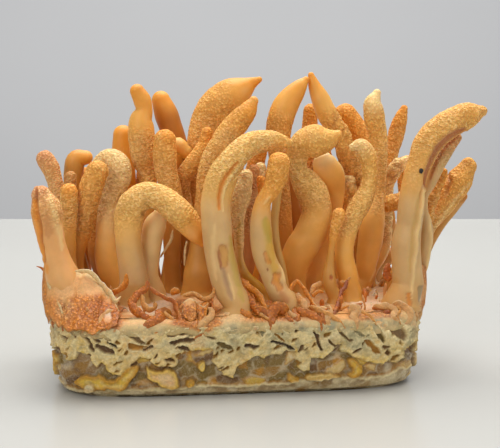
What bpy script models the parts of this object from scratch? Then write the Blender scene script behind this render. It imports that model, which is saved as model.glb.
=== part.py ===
import bpy
import bmesh
import math
import numpy as np

# Units: the tables below are in millimetres and the scene is in metres
MM = 0.001
COLLECTION_NAME = "cordyceps_bunch"

# Substrate: a slab of cooked grain grown through with mycelium, as it comes out of its growing box
BLOCK_HALF_LENGTH = 48.6
BLOCK_HALF_DEPTH = 28.0
BLOCK_TOP = 17.9
CORNER_POWER = 5.0
RING_SEGMENTS = 52
BLOCK_LEVELS = [(0.0, -3.5), (1.0, -1.7), (2.6, -0.8), (4.5, -0.3), (10.0, 0.0), (15.5, 0.4), (BLOCK_TOP, 0.2)]
LUMP_HEIGHT = 0.3

# Mat: the felt of mycelium over the grain, with a slack rim, flat where the clubs stand on it
MAT_LEVELS = [(18.2, -0.9), (19.0, 0.2), (19.9, -0.3), (20.5, -1.8)]
RIM_WAVE = 0.45

# Clubs: the fruiting bodies start a touching gap above the mat
CLUB_GAP = 0.3
CLUB_START = MAT_LEVELS[-1][0] + CLUB_GAP
FOOT_RISE = 1.6
RING_SPACING = 12.0
RING_BEND = math.radians(39.0)
RING_SWELL = 2.2
FINE_STEPS = 12
TIP_ANGLES = (35.0, 68.0)

# Sight lines: the clubs were measured on an upright pane at the front of the block, seen from one eye point
VIEW_TURN = 7.0
VIEW_PITCH = 7.0
EYE_TO_PANE = 280.0
PANE_CENTRE = (1.5, -28.0, 44.3)

# Each club: root (x, y), foot radius, then points from root to tip as
# (across the pane, up the pane, depth y it is pushed back to, radius on the pane)
CLUBS = {
    "front_club_1": ((-42.0, -14.0), 4.6, [
        (-46.3, -14.5, -14, 4.4), (-48.0, -9.5, -14, 3.4), (-49.3, -5.25, -14, 3.2),
        (-50.5, -0.25, -14, 3.6), (-51.1, 4.4, -14, 3.8), (-52.1, 7.1, -14, 2.5)]),
    "front_club_2": ((-27.5, -9.0), 3.9, [
        (-29.0, -14.0, -9, 3.7), (-29.5, -10.25, -9, 3.5), (-30.5, -4.0, -9, 3.3),
        (-30.25, 1.0, -9, 3.6), (-29.0, 5.0, -10, 3.7), (-25.75, 7.25, -10, 3.25),
        (-22.0, 6.25, -11, 3.25), (-18.5, 3.5, -12, 3.4), (-15.5, 0.25, -12, 3.2),
        (-13.25, -3.0, -13, 2.2), (-12.0, -4.75, -13, 1.0)]),
    "front_club_3": ((-21.5, -3.5), 2.6, [
        (-25.5, -13.0, -4, 2.6), (-25.2, -9.0, -4, 2.6), (-24.5, -3.5, -4, 2.8),
        (-23.6, 0.0, -4.5, 2.8), (-22.4, 2.2, -5, 1.9)]),
    "front_club_4": ((-1.0, -22.0), 3.3, [
        (-5.25, -16.5, -21, 3.6), (-6.75, -11.5, -20, 3.75), (-7.75, -6.5, -19, 3.75),
        (-8.25, -1.5, -19, 3.75), (-8.5, 6.0, -18, 3.75), (-7.0, 11.5, -18, 3.75),
        (-4.25, 16.0, -18, 3.25), (-0.75, 19.5, -17, 3.0), (3.75, 20.75, -16, 2.75),
        (7.5, 20.75, -15, 2.0), (9.5, 20.25, -15, 1.25)]),
    "front_club_5": ((7.5, -8.0), 1.5, [
        (1.25, -15.0, -9, 1.25), (-1.0, -12.75, -9, 1.1), (-2.5, -9.0, -9, 1.0),
        (-2.75, -4.0, -9, 1.25), (-3.0, 2.25, -9, 1.75), (-2.25, 7.25, -9, 2.5),
        (-1.0, 12.0, -9, 1.75)]),
    "front_club_6": ((12.0, -21.0), 2.9, [
        (7.25, -17.25, -21, 2.5), (5.5, -12.75, -20, 2.75), (3.5, -7.75, -20, 2.75),
        (2.75, -2.75, -20, 2.75), (2.75, 2.25, -20, 2.4), (3.5, 6.0, -20, 2.0),
        (5.25, 8.5, -20, 2.25), (6.5, 11.5, -20, 2.75), (7.25, 15.25, -20, 2.75)]),
    "front_club_7": ((13.0, -12.0), 1.3, [
        (8.0, -12.0, -12, 1.2), (6.5, -5.0, -12, 1.1), (6.0, 0.0, -12, 1.15),
        (6.5, 4.5, -12, 1.1), (7.0, 9.0, -12, 1.0)]),
    "front_club_8": ((26.0, -15.0), 1.7, [
        (20.0, -15.5, -15, 1.6), (19.75, -12.75, -15, 1.5), (20.0, -9.5, -15, 1.0),
        (20.5, -5.25, -15, 0.8), (21.25, -1.0, -15, 1.25), (22.25, 2.5, -15, 1.6)]),
    "front_club_9": ((31.5, -10.0), 2.6, [
        (25.0, -15.5, -10, 2.3), (24.5, -12.75, -10, 2.5), (23.5, -7.75, -10, 2.4),
        (24.0, -2.75, -10, 2.5), (25.75, 1.5, -10, 2.4), (27.75, 5.25, -10, 2.5),
        (29.5, 9.25, -10, 2.1), (30.0, 13.5, -10, 2.0), (29.25, 17.25, -10, 2.25),
        (27.25, 19.5, -10, 1.9), (25.75, 19.25, -10, 1.0)]),
    "front_club_10": ((43.4, -17.0), 4.1, [
        (39.4, -15.0, -16, 3.9), (39.2, -11.5, -16, 3.75), (39.0, -5.25, -16, 3.7),
        (39.75, -0.25, -16, 3.2), (40.25, 3.5, -16, 3.4), (40.5, 7.25, -16, 3.1),
        (41.5, 12.25, -16, 3.1), (42.75, 16.0, -16, 3.3), (44.4, 19.8, -16, 3.6),
        (47.6, 23.4, -16, 3.7), (51.75, 26.0, -16, 3.45), (55.5, 27.5, -16, 2.9),
        (58.0, 28.25, -16, 1.3)]),
    "front_club_11": ((46.0, -10.3), 1.5, [
        (42.7, -11.5, -10.3, 1.4), (43.5, -5.5, -11.4, 1.8), (44.0, -1.5, -12, 1.8),
        (43.3, 2.8, -12, 1.2), (43.4, 6.8, -12, 1.15), (45.2, 10.4, -12, 1.4),
        (47.0, 14.6, -12, 1.7), (49.2, 18.4, -11.7, 1.7), (51.7, 21.6, -11.7, 1.2)]),
    "middle_club_1": ((-43.5, 10.0), 2.0, [
        (-46.0, -8.0, 10, 1.9), (-48.0, 2.0, 10, 2.0), (-48.25, 9.0, 9.5, 2.1),
        (-49.0, 11.5, 9.5, 2.0), (-50.0, 14.25, 9.5, 2.25), (-51.25, 16.25, 9.5, 2.2)]),
    "middle_club_2": ((-43.8, 4.8), 1.4, [
        (-46.3, -8.0, 5.5, 1.1), (-46.1, 2.0, 5.9, 1.3), (-45.0, 8.8, 6.7, 1.6),
        (-44.9, 11.75, 6.7, 1.5)]),
    "middle_club_3": ((-39.5, -1.0), 1.8, [
        (-44.75, -11.0, -1, 1.6), (-45.25, -5.25, -1, 1.8), (-45.25, 2.25, -1, 2.0),
        (-45.25, 8.0, -1, 2.2)]),
    "middle_club_4": ((-38.6, 3.4), 1.7, [
        (-42.9, -11.0, 3.1, 1.5), (-42.9, -5.25, 3.0, 2.1), (-41.6, -0.9, 3, 2.4),
        (-40.6, 4.0, 2, 2.5), (-39.6, 9.5, 1, 2.9), (-38.2, 13.2, 1, 2.7)]),
    "middle_club_5": ((-31.5, 5.0), 3.3, [
        (-35.5, -9.5, 5, 3.1), (-36.0, -2.75, 6, 2.5), (-35.75, 3.0, 7, 2.4),
        (-34.75, 8.0, 8, 3.0), (-33.0, 12.0, 8, 3.4), (-33.25, 15.1, 8, 3.1),
        (-35.5, 16.4, 9, 2.4), (-37.9, 15.1, 10, 1.7)]),
    "middle_club_6": ((-16.0, 7.0), 2.2, [
        (-19.5, -10.0, 6, 2.0), (-19.5, -2.0, 5, 2.3), (-19.5, 7.25, 4, 2.7),
        (-21.0, 13.5, 4, 2.8), (-21.25, 17.25, 4, 3.0), (-21.25, 21.0, 4, 2.7)]),
    "middle_club_7": ((-11.0, 10.5), 1.9, [
        (-15.5, -6.0, 10.5, 1.8), (-16.25, 4.0, 10, 1.9), (-16.75, 11.5, 8, 2.1),
        (-14.75, 14.5, 6, 2.3), (-12.5, 17.25, 5, 2.25), (-11.0, 20.25, 5, 1.9),
        (-10.75, 22.75, 5, 1.5)]),
    "middle_club_8": ((-9.5, 1.0), 4.0, [
        (-12.75, -12.5, 0, 3.9), (-12.5, -9.5, 0, 3.3), (-11.75, -1.5, 0, 2.8),
        (-11.25, 6.0, -1, 2.4), (-10.75, 13.0, -2, 2.3), (-9.5, 16.0, -2, 2.75),
        (-7.25, 19.25, -2, 3.1), (-5.25, 22.75, -2, 3.1), (-2.75, 25.75, -2, 2.9),
        (-0.5, 28.5, -2, 2.3), (0.9, 30.75, -2, 1.2)]),
    "middle_club_9": ((4.0, -2.0), 1.8, [
        (0.0, -8.0, -3, 1.6), (0.25, 0.0, -3, 1.7), (0.5, 8.0, -3, 1.5),
        (1.0, 13.5, -3, 1.4)]),
    "middle_club_10": ((5.0, -5.5), 0.9, [
        (2.5, -8.0, -7, 0.8), (2.75, 2.0, -8, 0.7), (2.75, 8.0, -8, 0.8),
        (2.75, 11.0, -8, 1.1)]),
    "middle_club_11": ((7.5, 4.0), 1.9, [
        (3.0, -6.0, 3, 1.8), (3.0, 4.0, 3, 1.8), (2.75, 10.0, 3, 1.6), (2.6, 14.0, 3, 1.4)]),
    "middle_club_12": ((17.0, -3.0), 2.8, [
        (11.25, -15.0, -3, 2.6), (11.0, -11.0, -3, 3.5), (12.5, -6.5, -3, 4.0),
        (14.5, -3.5, -3, 4.0), (16.25, 0.5, -3, 4.0), (16.75, 4.0, -3, 3.75),
        (15.75, 7.25, -3, 3.9), (13.75, 10.5, -3, 3.5), (12.0, 13.5, -3, 2.5),
        (12.0, 17.25, -3, 2.75), (13.25, 19.75, -4, 3.5), (16.25, 20.75, -5, 4.1),
        (19.5, 21.25, -6, 3.0), (22.0, 22.5, -7, 1.0)]),
    "middle_club_13": ((23.0, 5.0), 3.3, [
        (16.5, -12.75, 5, 3.0), (18.0, -7.0, 5, 2.8), (20.0, -1.5, 4, 2.5),
        (21.0, 3.5, 3, 2.0), (21.5, 8.0, 3, 2.2), (20.5, 12.0, 2, 3.2),
        (18.75, 14.5, 2, 3.2)]),
    "middle_club_14": ((30.0, 9.0), 2.1, [
        (24.5, -4.0, 9, 2.0), (24.75, 3.0, 8.5, 2.1), (24.5, 8.0, 8.5, 2.3),
        (24.5, 10.25, 8.5, 2.0)]),
    "middle_club_15": ((37.0, 2.0), 2.2, [
        (28.75, -14.0, 2, 1.9), (29.0, -10.25, 2, 2.5), (30.0, -4.0, 2, 3.0),
        (30.5, 1.0, 2, 3.0), (31.75, 6.0, 2, 2.0), (32.5, 11.0, 2, 1.5),
        (32.75, 16.0, 2, 1.6), (32.25, 21.0, 3, 2.1), (31.0, 27.25, 3, 2.6),
        (30.75, 30.25, 3, 2.25), (31.75, 32.75, 3, 1.0)]),
    "middle_club_16": ((45.5, 1.8), 1.7, [
        (41.0, -4.0, 2, 1.8), (41.0, 1.5, 2.5, 2.0), (39.5, 5.0, 4, 2.2),
        (36.5, 5.5, 6, 2.2), (34.5, 5.0, 6.5, 2.0)]),
    "middle_club_17": ((45.0, -6.8), 1.1, [
        (43.5, -8.0, -7, 1.1), (44.5, 0.0, -8, 1.2), (45.5, 6.0, -8.5, 1.4),
        (47.0, 9.25, -8.5, 1.3), (48.5, 13.0, -8.5, 1.0)]),
    "middle_club_18": ((45.5, -2.8), 1.8, [
        (42.2, -10.0, -3, 1.7), (43.4, -3.0, -3, 1.9), (44.8, 0.0, -4, 2.1),
        (47.3, 3.2, -4, 2.4), (50.2, 7.4, -4, 3.0), (52.5, 11.1, -4, 3.2),
        (54.6, 14.5, -4, 2.0)]),
    "middle_club_19": ((46.0, 6.0), 1.3, [
        (43.4, -8.0, 5.5, 1.2), (45.3, -4.0, 4.5, 1.25), (47.7, 0.2, 2.8, 1.35),
        (50.6, 3.8, 2.6, 1.4), (53.2, 6.9, 2.5, 1.2)]),
    "back_club_1": ((-41.5, 22.0), 2.4, [
        (-42.0, -8.0, 22, 2.4), (-42.5, 0.0, 22, 2.6), (-41.5, 7.0, 22, 2.6),
        (-41.0, 12.0, 22, 2.2)]),
    "back_club_2": ((-41.0, 17.2), 1.9, [
        (-43.6, -4.0, 16, 1.7), (-44.4, 9.0, 16, 2.0), (-44.1, 12.8, 16, 2.4),
        (-43.2, 16.2, 16, 2.4), (-41.1, 16.6, 16, 1.8)]),
    "back_club_3": ((-35.6, 14.2), 2.2, [
        (-38.6, -6.0, 14.5, 2.1), (-38.6, 4.0, 15, 2.1), (-37.6, 10.0, 16, 2.1)]),
    "back_club_4": ((-29.5, 22.5), 2.5, [
        (-31.5, -4.0, 22.5, 2.4), (-31.5, 12.0, 22.5, 2.8), (-31.9, 18.5, 22.5, 2.7),
        (-31.75, 22.25, 22.5, 2.5)]),
    "back_club_5": ((-23.5, 13.0), 2.7, [
        (-25.5, -4.0, 13, 2.5), (-25.25, 5.0, 13, 2.4), (-25.5, 11.0, 13, 2.2),
        (-26.0, 13.5, 13, 2.2), (-26.75, 16.0, 13, 2.9), (-27.0, 19.75, 13, 3.3),
        (-27.25, 23.5, 13, 3.4), (-27.25, 26.0, 13, 3.0), (-26.5, 28.5, 13, 2.2),
        (-27.0, 31.0, 13, 2.25), (-28.2, 33.2, 13, 1.8)]),
    "back_club_6": ((-21.5, 23.0), 2.5, [
        (-25.5, -6.0, 24, 2.4), (-26.25, 6.0, 24, 2.5), (-25.75, 14.0, 24, 2.4),
        (-25.5, 17.5, 24, 2.0)]),
    "back_club_7": ((-16.5, 15.5), 2.5, [
        (-18.5, -4.0, 15.5, 2.4), (-19.5, 8.0, 14, 2.5), (-19.5, 16.0, 12.5, 2.6),
        (-18.25, 19.25, 11.5, 2.6), (-16.25, 18.0, 11, 1.8)]),
    "back_club_8": ((-14.0, 23.5), 2.6, [
        (-17.0, -4.0, 23, 2.5), (-17.25, 8.0, 22.5, 2.6), (-18.75, 21.0, 22, 2.8),
        (-19.75, 24.0, 22, 2.9), (-21.0, 27.75, 22, 2.9), (-22.25, 31.0, 22, 2.3)]),
    "back_club_9": ((-7.0, 15.0), 3.1, [
        (-12.0, -8.0, 15, 3.0), (-13.0, 3.0, 15.5, 2.8), (-12.75, 10.0, 15.5, 3.0),
        (-12.2, 16.0, 15.5, 3.6), (-11.2, 22.0, 15.5, 4.4), (-9.1, 26.8, 15.5, 5.1),
        (-6.3, 30.4, 15, 5.1), (-3.8, 32.6, 14, 4.3), (-1.4, 34.1, 13.5, 2.9),
        (0.6, 35.3, 13, 1.5), (2.3, 36.1, 12, 0.75)]),
    "back_club_10": ((-3.0, 24.5), 2.5, [
        (-6.0, -4.0, 24.5, 2.5), (-8.0, 8.0, 24.5, 2.7), (-9.0, 17.0, 24.5, 2.6),
        (-9.0, 22.0, 24.5, 2.2)]),
    "back_club_11": ((0.0, 9.0), 2.2, [
        (-3.0, -6.0, 9, 2.1), (-4.0, 3.0, 9, 2.3), (-4.4, 9.0, 9, 2.1),
        (-3.6, 14.0, 9.5, 2.0), (-2.6, 16.9, 10, 1.7)]),
    "back_club_12": ((6.0, 20.0), 2.3, [
        (1.0, -4.0, 20, 2.3), (0.0, 5.0, 20, 2.4), (0.6, 11.0, 20, 2.2),
        (1.6, 15.4, 20, 2.2), (2.6, 18.6, 20, 1.9)]),
    "back_club_13": ((13.0, 8.5), 2.1, [
        (8.5, -6.0, 8.5, 2.0), (8.25, 4.75, 8.5, 2.0), (7.5, 13.0, 8.5, 2.2),
        (7.1, 20.0, 8.5, 2.9), (7.4, 25.2, 8.5, 3.2), (8.3, 28.1, 8.5, 3.3),
        (9.8, 30.9, 8.5, 3.0), (11.6, 33.3, 8.5, 2.4), (13.0, 35.0, 8.5, 1.6),
        (14.0, 36.1, 8.5, 0.8)]),
    "back_club_14": ((14.5, 16.0), 2.8, [
        (10.0, -8.0, 16, 2.7), (10.25, 0.5, 16, 2.8), (9.5, 8.0, 16, 2.6),
        (9.0, 14.0, 16, 2.4)]),
    "back_club_15": ((14.5, 24.0), 2.2, [
        (12.5, -2.0, 24, 2.1), (13.5, 8.0, 24, 2.2), (14.5, 18.0, 24, 2.2),
        (14.9, 24.0, 24, 2.0), (15.1, 28.3, 24, 1.8)]),
    "back_club_16": ((23.5, 20.0), 2.5, [
        (19.0, -4.0, 20, 2.4), (19.0, 6.0, 20, 2.6), (18.5, 13.0, 20, 2.5),
        (18.25, 17.5, 19, 2.2)]),
    "back_club_17": ((31.5, 15.0), 2.6, [
        (27.0, -4.0, 15, 2.4), (27.75, 4.0, 15, 2.3), (27.25, 11.0, 14, 2.3),
        (25.5, 14.75, 12, 2.75), (23.75, 18.5, 10, 2.5), (22.75, 22.25, 10, 2.4),
        (20.5, 25.5, 10, 2.5), (18.75, 28.5, 10, 2.5), (17.5, 31.5, 10, 2.25),
        (16.0, 34.75, 10, 1.5), (15.25, 37.25, 10, 0.75)]),
    "back_club_18": ((29.5, 24.5), 2.2, [
        (24.5, -4.0, 25, 2.1), (25.0, 6.0, 25, 2.3), (25.0, 13.0, 25, 2.1)]),
    "back_club_19": ((36.5, 22.0), 2.5, [
        (30.5, -4.0, 21.5, 2.4), (29.75, 6.0, 21.5, 2.5), (29.5, 14.0, 21, 2.6),
        (28.75, 19.75, 21, 2.7), (26.6, 23.6, 21, 2.75), (23.8, 27.3, 21, 2.8)]),
    "back_club_20": ((41.0, 9.5), 1.4, [
        (33.75, -6.0, 10.5, 1.2), (34.25, -1.0, 12, 1.3), (34.25, 4.0, 13, 1.4),
        (34.4, 10.25, 12, 1.7), (35.7, 12.8, 10, 1.8), (37.6, 15.0, 9, 1.8),
        (39.5, 16.0, 9, 1.3)]),
    "back_club_21": ((42.5, 17.0), 1.8, [
        (34.75, -2.0, 17, 1.6), (34.0, 11.5, 17, 1.3), (34.75, 14.75, 17, 1.5),
        (35.5, 18.5, 17, 1.8), (36.5, 22.25, 17, 2.0), (37.5, 26.0, 17, 1.8),
        (38.5, 28.75, 17, 1.0)]),
    "back_club_22": ((45.5, 22.0), 2.0, [
        (39.6, -4.0, 23, 2.0), (40.2, 4.0, 23, 2.0), (38.8, 9.5, 23, 1.9),
        (38.2, 13.0, 23, 1.4)]),
}

# Finishes: base colour, roughness
FINISHES = {
    "substrate_block": ((0.52, 0.43, 0.26), 0.7),
    "mycelium_mat": ((0.78, 0.52, 0.36), 0.8),
    "front": ((0.80, 0.50, 0.20), 0.6),
    "middle": ((0.78, 0.46, 0.17), 0.6),
    "back": ((0.74, 0.42, 0.14), 0.6),
}


def clear_scene():
    for old in list(bpy.data.objects):
        bpy.data.objects.remove(old, do_unlink=True)


def make_collection(name):
    collection = bpy.data.collections.new(name)
    bpy.context.scene.collection.children.link(collection)
    return collection


def make_material(name, finish):
    colour, roughness = FINISHES[finish]
    material = bpy.data.materials.new(name + "_finish")
    material.use_nodes = True
    shader = material.node_tree.nodes["Principled BSDF"]
    shader.inputs["Base Color"].default_value = (*colour, 1.0)
    shader.inputs["Roughness"].default_value = roughness
    shader.inputs["Metallic"].default_value = 0.0
    return material


def add_node(collection, name, data, finish):
    thing = bpy.data.objects.new(name, data)
    thing.data.materials.append(make_material(name, finish))
    collection.objects.link(thing)
    return thing


def outline_share(angle):
    """How far the rounded rectangle reaches at an angle, as a share of its half sides."""
    reach = abs(math.cos(angle)) ** CORNER_POWER + abs(math.sin(angle)) ** CORNER_POWER
    return reach ** (-1.0 / CORNER_POWER)


def slab_mesh(name, levels, wave):
    """A rounded slab: a cylinder cut into levels, each level pushed out to its own outline."""
    bm = bmesh.new()
    bmesh.ops.create_cone(bm, cap_ends=True, segments=RING_SEGMENTS, radius1=1.0, radius2=1.0, depth=1.0)
    upright = [edge for edge in bm.edges if abs(edge.verts[0].co.z - edge.verts[1].co.z) > 0.5]
    bmesh.ops.subdivide_edges(bm, edges=upright, cuts=len(levels) - 2)
    last = len(levels) - 1
    for vert in bm.verts:
        angle = math.atan2(vert.co.y, vert.co.x)
        height, spread = levels[round((vert.co.z + 0.5) * last)]
        share = outline_share(angle)
        bump = wave(angle, height)
        vert.co.x = (BLOCK_HALF_LENGTH + spread + bump) * math.cos(angle) * share * MM
        vert.co.y = (BLOCK_HALF_DEPTH + spread + bump) * math.sin(angle) * share * MM
        vert.co.z = height * MM
    mesh = bpy.data.meshes.new(name)
    bm.to_mesh(mesh)
    bm.free()
    mesh.shade_smooth()
    mesh.set_sharp_from_angle(angle=math.radians(40.0))
    return mesh


def grain_lumps(angle, height):
    return LUMP_HEIGHT * (math.sin(11.0 * angle + 0.4 * height) + math.sin(17.0 * angle - 0.7 * height))


def rim_folds(angle, height):
    return RIM_WAVE * (math.sin(9.0 * angle + height) + math.sin(22.0 * angle - 2.0 * height))


def sight_axes():
    """The eye point and the across, up and forward directions of the measuring pane."""
    turn = math.radians(VIEW_TURN)
    pitch = math.radians(VIEW_PITCH)
    level = np.array([math.sin(turn), math.cos(turn), 0.0])
    upright = np.array([0.0, 0.0, 1.0])
    across = np.array([math.cos(turn), -math.sin(turn), 0.0])
    forward = level * math.cos(pitch) - upright * math.sin(pitch)
    up = level * math.sin(pitch) + upright * math.cos(pitch)
    eye = np.array(PANE_CENTRE) - forward * EYE_TO_PANE
    return eye, across, up


def push_back(point):
    """A pane point carried along its sight line to its own depth, with its radius grown to match."""
    eye, across, up = sight_axes()
    on_pane = np.array(PANE_CENTRE) + across * point[0] + up * point[1]
    stretch = (point[2] - eye[1]) / (on_pane[1] - eye[1])
    place = eye + (on_pane - eye) * stretch
    return [*place, point[3] * stretch]


def smooth_route(knots):
    """A curve through the knots: Hermite pieces whose slopes come from the neighbouring knots."""
    knots = np.array(knots)
    steps = np.linalg.norm(np.diff(knots[:, :3], axis=0), axis=1)
    along = np.concatenate([[0.0], np.cumsum(steps)])
    slopes = np.gradient(knots, along, axis=0)
    slopes[0] = (0.0, 0.0, 1.0, 0.0)
    share = np.linspace(0.0, 1.0, FINE_STEPS, endpoint=False)[:, None]
    pieces = []
    for i, step in enumerate(steps):
        start = 2 * share ** 3 - 3 * share ** 2 + 1
        leave = share ** 3 - 2 * share ** 2 + share
        arrive = share ** 3 - share ** 2
        piece = start * knots[i] + (1 - start) * knots[i + 1]
        pieces.append(piece + step * (leave * slopes[i] + arrive * slopes[i + 1]))
    return np.concatenate(pieces + [knots[-1:]])


def chosen_stations(route):
    """Rings along the route, closer together where it bends or changes thickness."""
    moves = np.diff(route[:, :3], axis=0)
    steps = np.linalg.norm(moves, axis=1)
    ways = moves / steps[:, None]
    bends = np.arccos(np.clip((ways[1:] * ways[:-1]).sum(axis=1), -1.0, 1.0))
    need = steps / RING_SPACING + np.abs(np.diff(route[:, 3])) / RING_SWELL
    need[1:] += bends / RING_BEND
    along = np.concatenate([[0.0], np.cumsum(need)])
    stations = np.linspace(0.0, along[-1], max(5, round(along[-1]) + 1))
    return np.stack([np.interp(stations, along, route[:, k]) for k in range(4)], axis=1)


def club_rings(root, foot, points):
    """Centres and radii of a club's rings in millimetres, with a rounded tip."""
    ground = [root[0], root[1], CLUB_START, foot]
    ankle = [root[0], root[1], CLUB_START + FOOT_RISE, foot]
    rings = chosen_stations(smooth_route([ground, ankle] + [push_back(p) for p in points]))
    rings[1] = ankle
    heading = rings[-1, :3] - rings[-2, :3]
    heading /= np.linalg.norm(heading)
    radius = rings[-1, 3]
    tip = []
    for angle in np.radians(TIP_ANGLES):
        centre = rings[-1, :3] + heading * radius * math.sin(angle)
        tip.append([*centre, radius * math.cos(angle)])
    return np.concatenate([rings, tip])


def club_curve(name, rings):
    curve = bpy.data.curves.new(name, "CURVE")
    curve.dimensions = "3D"
    curve.bevel_depth = MM
    curve.bevel_resolution = 2
    curve.use_fill_caps = True
    spline = curve.splines.new("POLY")
    spline.points.add(len(rings) - 1)
    for point, ring in zip(spline.points, rings):
        point.co = (ring[0] * MM, ring[1] * MM, ring[2] * MM, 1.0)
        point.radius = ring[3]
    spline.use_smooth = True
    return curve


def build():
    clear_scene()
    collection = make_collection(COLLECTION_NAME)
    add_node(collection, "substrate_block", slab_mesh("substrate_block", BLOCK_LEVELS, grain_lumps),
             "substrate_block")
    add_node(collection, "mycelium_mat", slab_mesh("mycelium_mat", MAT_LEVELS, rim_folds), "mycelium_mat")
    for name, (root, foot, points) in CLUBS.items():
        row = name.split("_")[0]
        add_node(collection, name, club_curve(name, club_rings(root, foot, points)), row)


build()
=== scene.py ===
import bpy
import math
import numpy as np
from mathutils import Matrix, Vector


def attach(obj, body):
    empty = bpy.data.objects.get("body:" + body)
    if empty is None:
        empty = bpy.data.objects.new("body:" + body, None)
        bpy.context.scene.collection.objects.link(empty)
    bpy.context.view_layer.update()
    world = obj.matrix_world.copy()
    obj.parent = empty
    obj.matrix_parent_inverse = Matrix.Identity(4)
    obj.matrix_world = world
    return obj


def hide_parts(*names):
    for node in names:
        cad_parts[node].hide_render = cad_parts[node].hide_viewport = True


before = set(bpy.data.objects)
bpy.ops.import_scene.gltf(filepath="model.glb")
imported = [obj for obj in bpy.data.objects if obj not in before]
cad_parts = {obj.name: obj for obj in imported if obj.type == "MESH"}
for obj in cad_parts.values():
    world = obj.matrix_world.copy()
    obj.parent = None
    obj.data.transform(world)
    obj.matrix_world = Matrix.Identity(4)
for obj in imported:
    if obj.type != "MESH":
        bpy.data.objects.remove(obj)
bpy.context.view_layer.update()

from types import SimpleNamespace

mm = 0.001  # the tables are in millimetres, the scene in metres
whole = bpy.context.scene

# Sight lines: places were measured on an upright pane at the block's front, seen from one eye point
sight = {"turn": 7.0, "pitch": 7.0, "reach": 280.0, "centre": (1.5, -28.0, 44.3), "lens": 80.64,
         "sensor": 36.0}


def sightAxes():
    # the pane faces the eye: its across, upward and forward directions come from the turn and the pitch
    turn, pitch = math.radians(sight["turn"]), math.radians(sight["pitch"])
    level = np.array([math.sin(turn), math.cos(turn), 0.0])
    across = np.array([math.cos(turn), -math.sin(turn), 0.0])
    forward = level * math.cos(pitch) - np.array([0.0, 0.0, math.sin(pitch)])
    upward = level * math.sin(pitch) + np.array([0.0, 0.0, math.cos(pitch)])
    return np.array(sight["centre"]) - forward * sight["reach"], across, upward, forward


eye, across, upward, forward = sightAxes()


def pushBack(points):
    # each row (across, up, depth y, radius) is carried along its sight line to its depth, its radius growing
    # with it
    points = np.atleast_2d(np.array(points, float))
    onPane = np.array(sight["centre"]) + points[:, :1] * across + points[:, 1:2] * upward
    stretch = (points[:, 2:3] - eye[1]) / (onPane[:, 1:2] - eye[1])
    return np.hstack([eye + (onPane - eye) * stretch, points[:, 3:] * stretch])


def paneOf(points):
    # where the sight lines to points cross the pane: offset from the eye over distance along the view, times
    # the reach
    offset = points - eye
    depth = offset @ forward
    return (offset @ across) * sight["reach"] / depth, (offset @ upward) * sight["reach"] / depth


def ease(low, high, value):
    # 0 below low, 1 above high, and 3t^2 - 2t^3 between
    t = np.clip((value - low) / (high - low), 0.0, 1.0)
    return t * t * (3 - 2 * t)


def bell(value, middle, width):
    # 1 at the middle, falling off on both sides as exp(-((value - middle) / width)^2)
    return np.exp(-((value - middle) / width) ** 2)


def blendTo(colours, colour, share):
    # colours moved towards one colour by a share from 0 to 1
    share = np.clip(np.asarray(share), 0.0, 1.0)[..., None]
    return colours * (1 - share) + np.array(colour) * share


# Noise on points in millimetres: the factors that scatter whole numbers over 32 bits, and an offset for the
# lattice that keeps its cells above nought
scatter = {"i": 374761393, "j": 668265263, "k": 2246822519, "fold": 3266489917, "start": 12345,
           "span": 2 ** 32}
latticeStart = 1000.0


def scrambled(cell, seed):
    # a repeatable random number from 0 to 1 for each whole-numbered cell: multiplied, shifted and folded
    # integers
    i, j, k = (cell[:, n].astype(np.uint32) * np.uint32(scatter["ijk"[n]]) for n in range(3))
    h = i + j + k + np.uint32((seed * scatter["fold"] + scatter["start"]) % scatter["span"])
    h = (h ^ (h >> np.uint32(15))) * np.uint32(scatter["k"])
    h = (h ^ (h >> np.uint32(13))) * np.uint32(scatter["fold"])
    return (h ^ (h >> np.uint32(16))).astype(float) / (scatter["span"] - 1)


def softNoise(points, size, seed):
    # random values on a lattice of cells of that size, eased between the eight corners, from -1 to 1
    place = points / size + latticeStart
    cell = np.floor(place).astype(np.int64)
    part = ease(0.0, 1.0, place - cell)
    total = np.zeros(len(points))
    for corner in range(8):
        step = np.array([corner & 1, corner >> 1 & 1, corner >> 2 & 1])
        total += np.prod(np.where(step, part, 1 - part), axis=1) * scrambled(cell + step, seed)
    return 2 * total - 1


def layered(points, size, seed, layers=3):
    # soft noise plus finer copies, each half as wide and half as strong
    total = sum(softNoise(points, size / 2 ** n, seed + 17 * n) / 2 ** n for n in range(layers))
    return total / (2 - 0.5 ** (layers - 1))


def pebbles(points, size, seed):
    # points scattered one to a cell: the distances to the nearest and the next, in cell sizes, and the
    # nearest one's own number
    place = points / size + latticeStart
    cell = np.floor(place).astype(np.int64)
    near = np.full(len(points), 9.0)
    other, owner = near.copy(), near.copy()
    for n in range(27):
        spot = cell + np.array([n % 3 - 1, n // 3 % 3 - 1, n // 9 - 1])
        jitter = np.stack([scrambled(spot, seed + k) for k in range(3)], axis=1)
        gap = np.linalg.norm(spot + jitter - place, axis=1)
        owner = np.where(gap < near, jitter[:, 0] * 7.13 % 1.0, owner)
        other = np.minimum(other, np.maximum(near, gap))
        near = np.minimum(near, gap)
    return near, other, owner


def walked(points):
    # how far along a line of joined points each one lies
    return np.concatenate([[0.0], np.cumsum(np.linalg.norm(np.diff(points, axis=0), axis=1))])


def nearPath(u, w, path):
    # distance of plane points to a line of joined stretches, and the share of its length where it is nearest
    path = np.array(path, float)
    starts = walked(path)
    best, share = np.full(u.shape, 1e9), np.zeros(u.shape)
    for n, step in enumerate(np.diff(starts)):
        du, dw = (path[n + 1] - path[n]) / step
        t = np.clip((u - path[n, 0]) * du + (w - path[n, 1]) * dw, 0.0, step)
        gap = np.hypot(u - path[n, 0] - t * du, w - path[n, 1] - t * dw)
        closer = gap < best
        best = np.where(closer, gap, best)
        share = np.where(closer, (starts[n] + t) / starts[-1], share)
    return best, share


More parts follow.
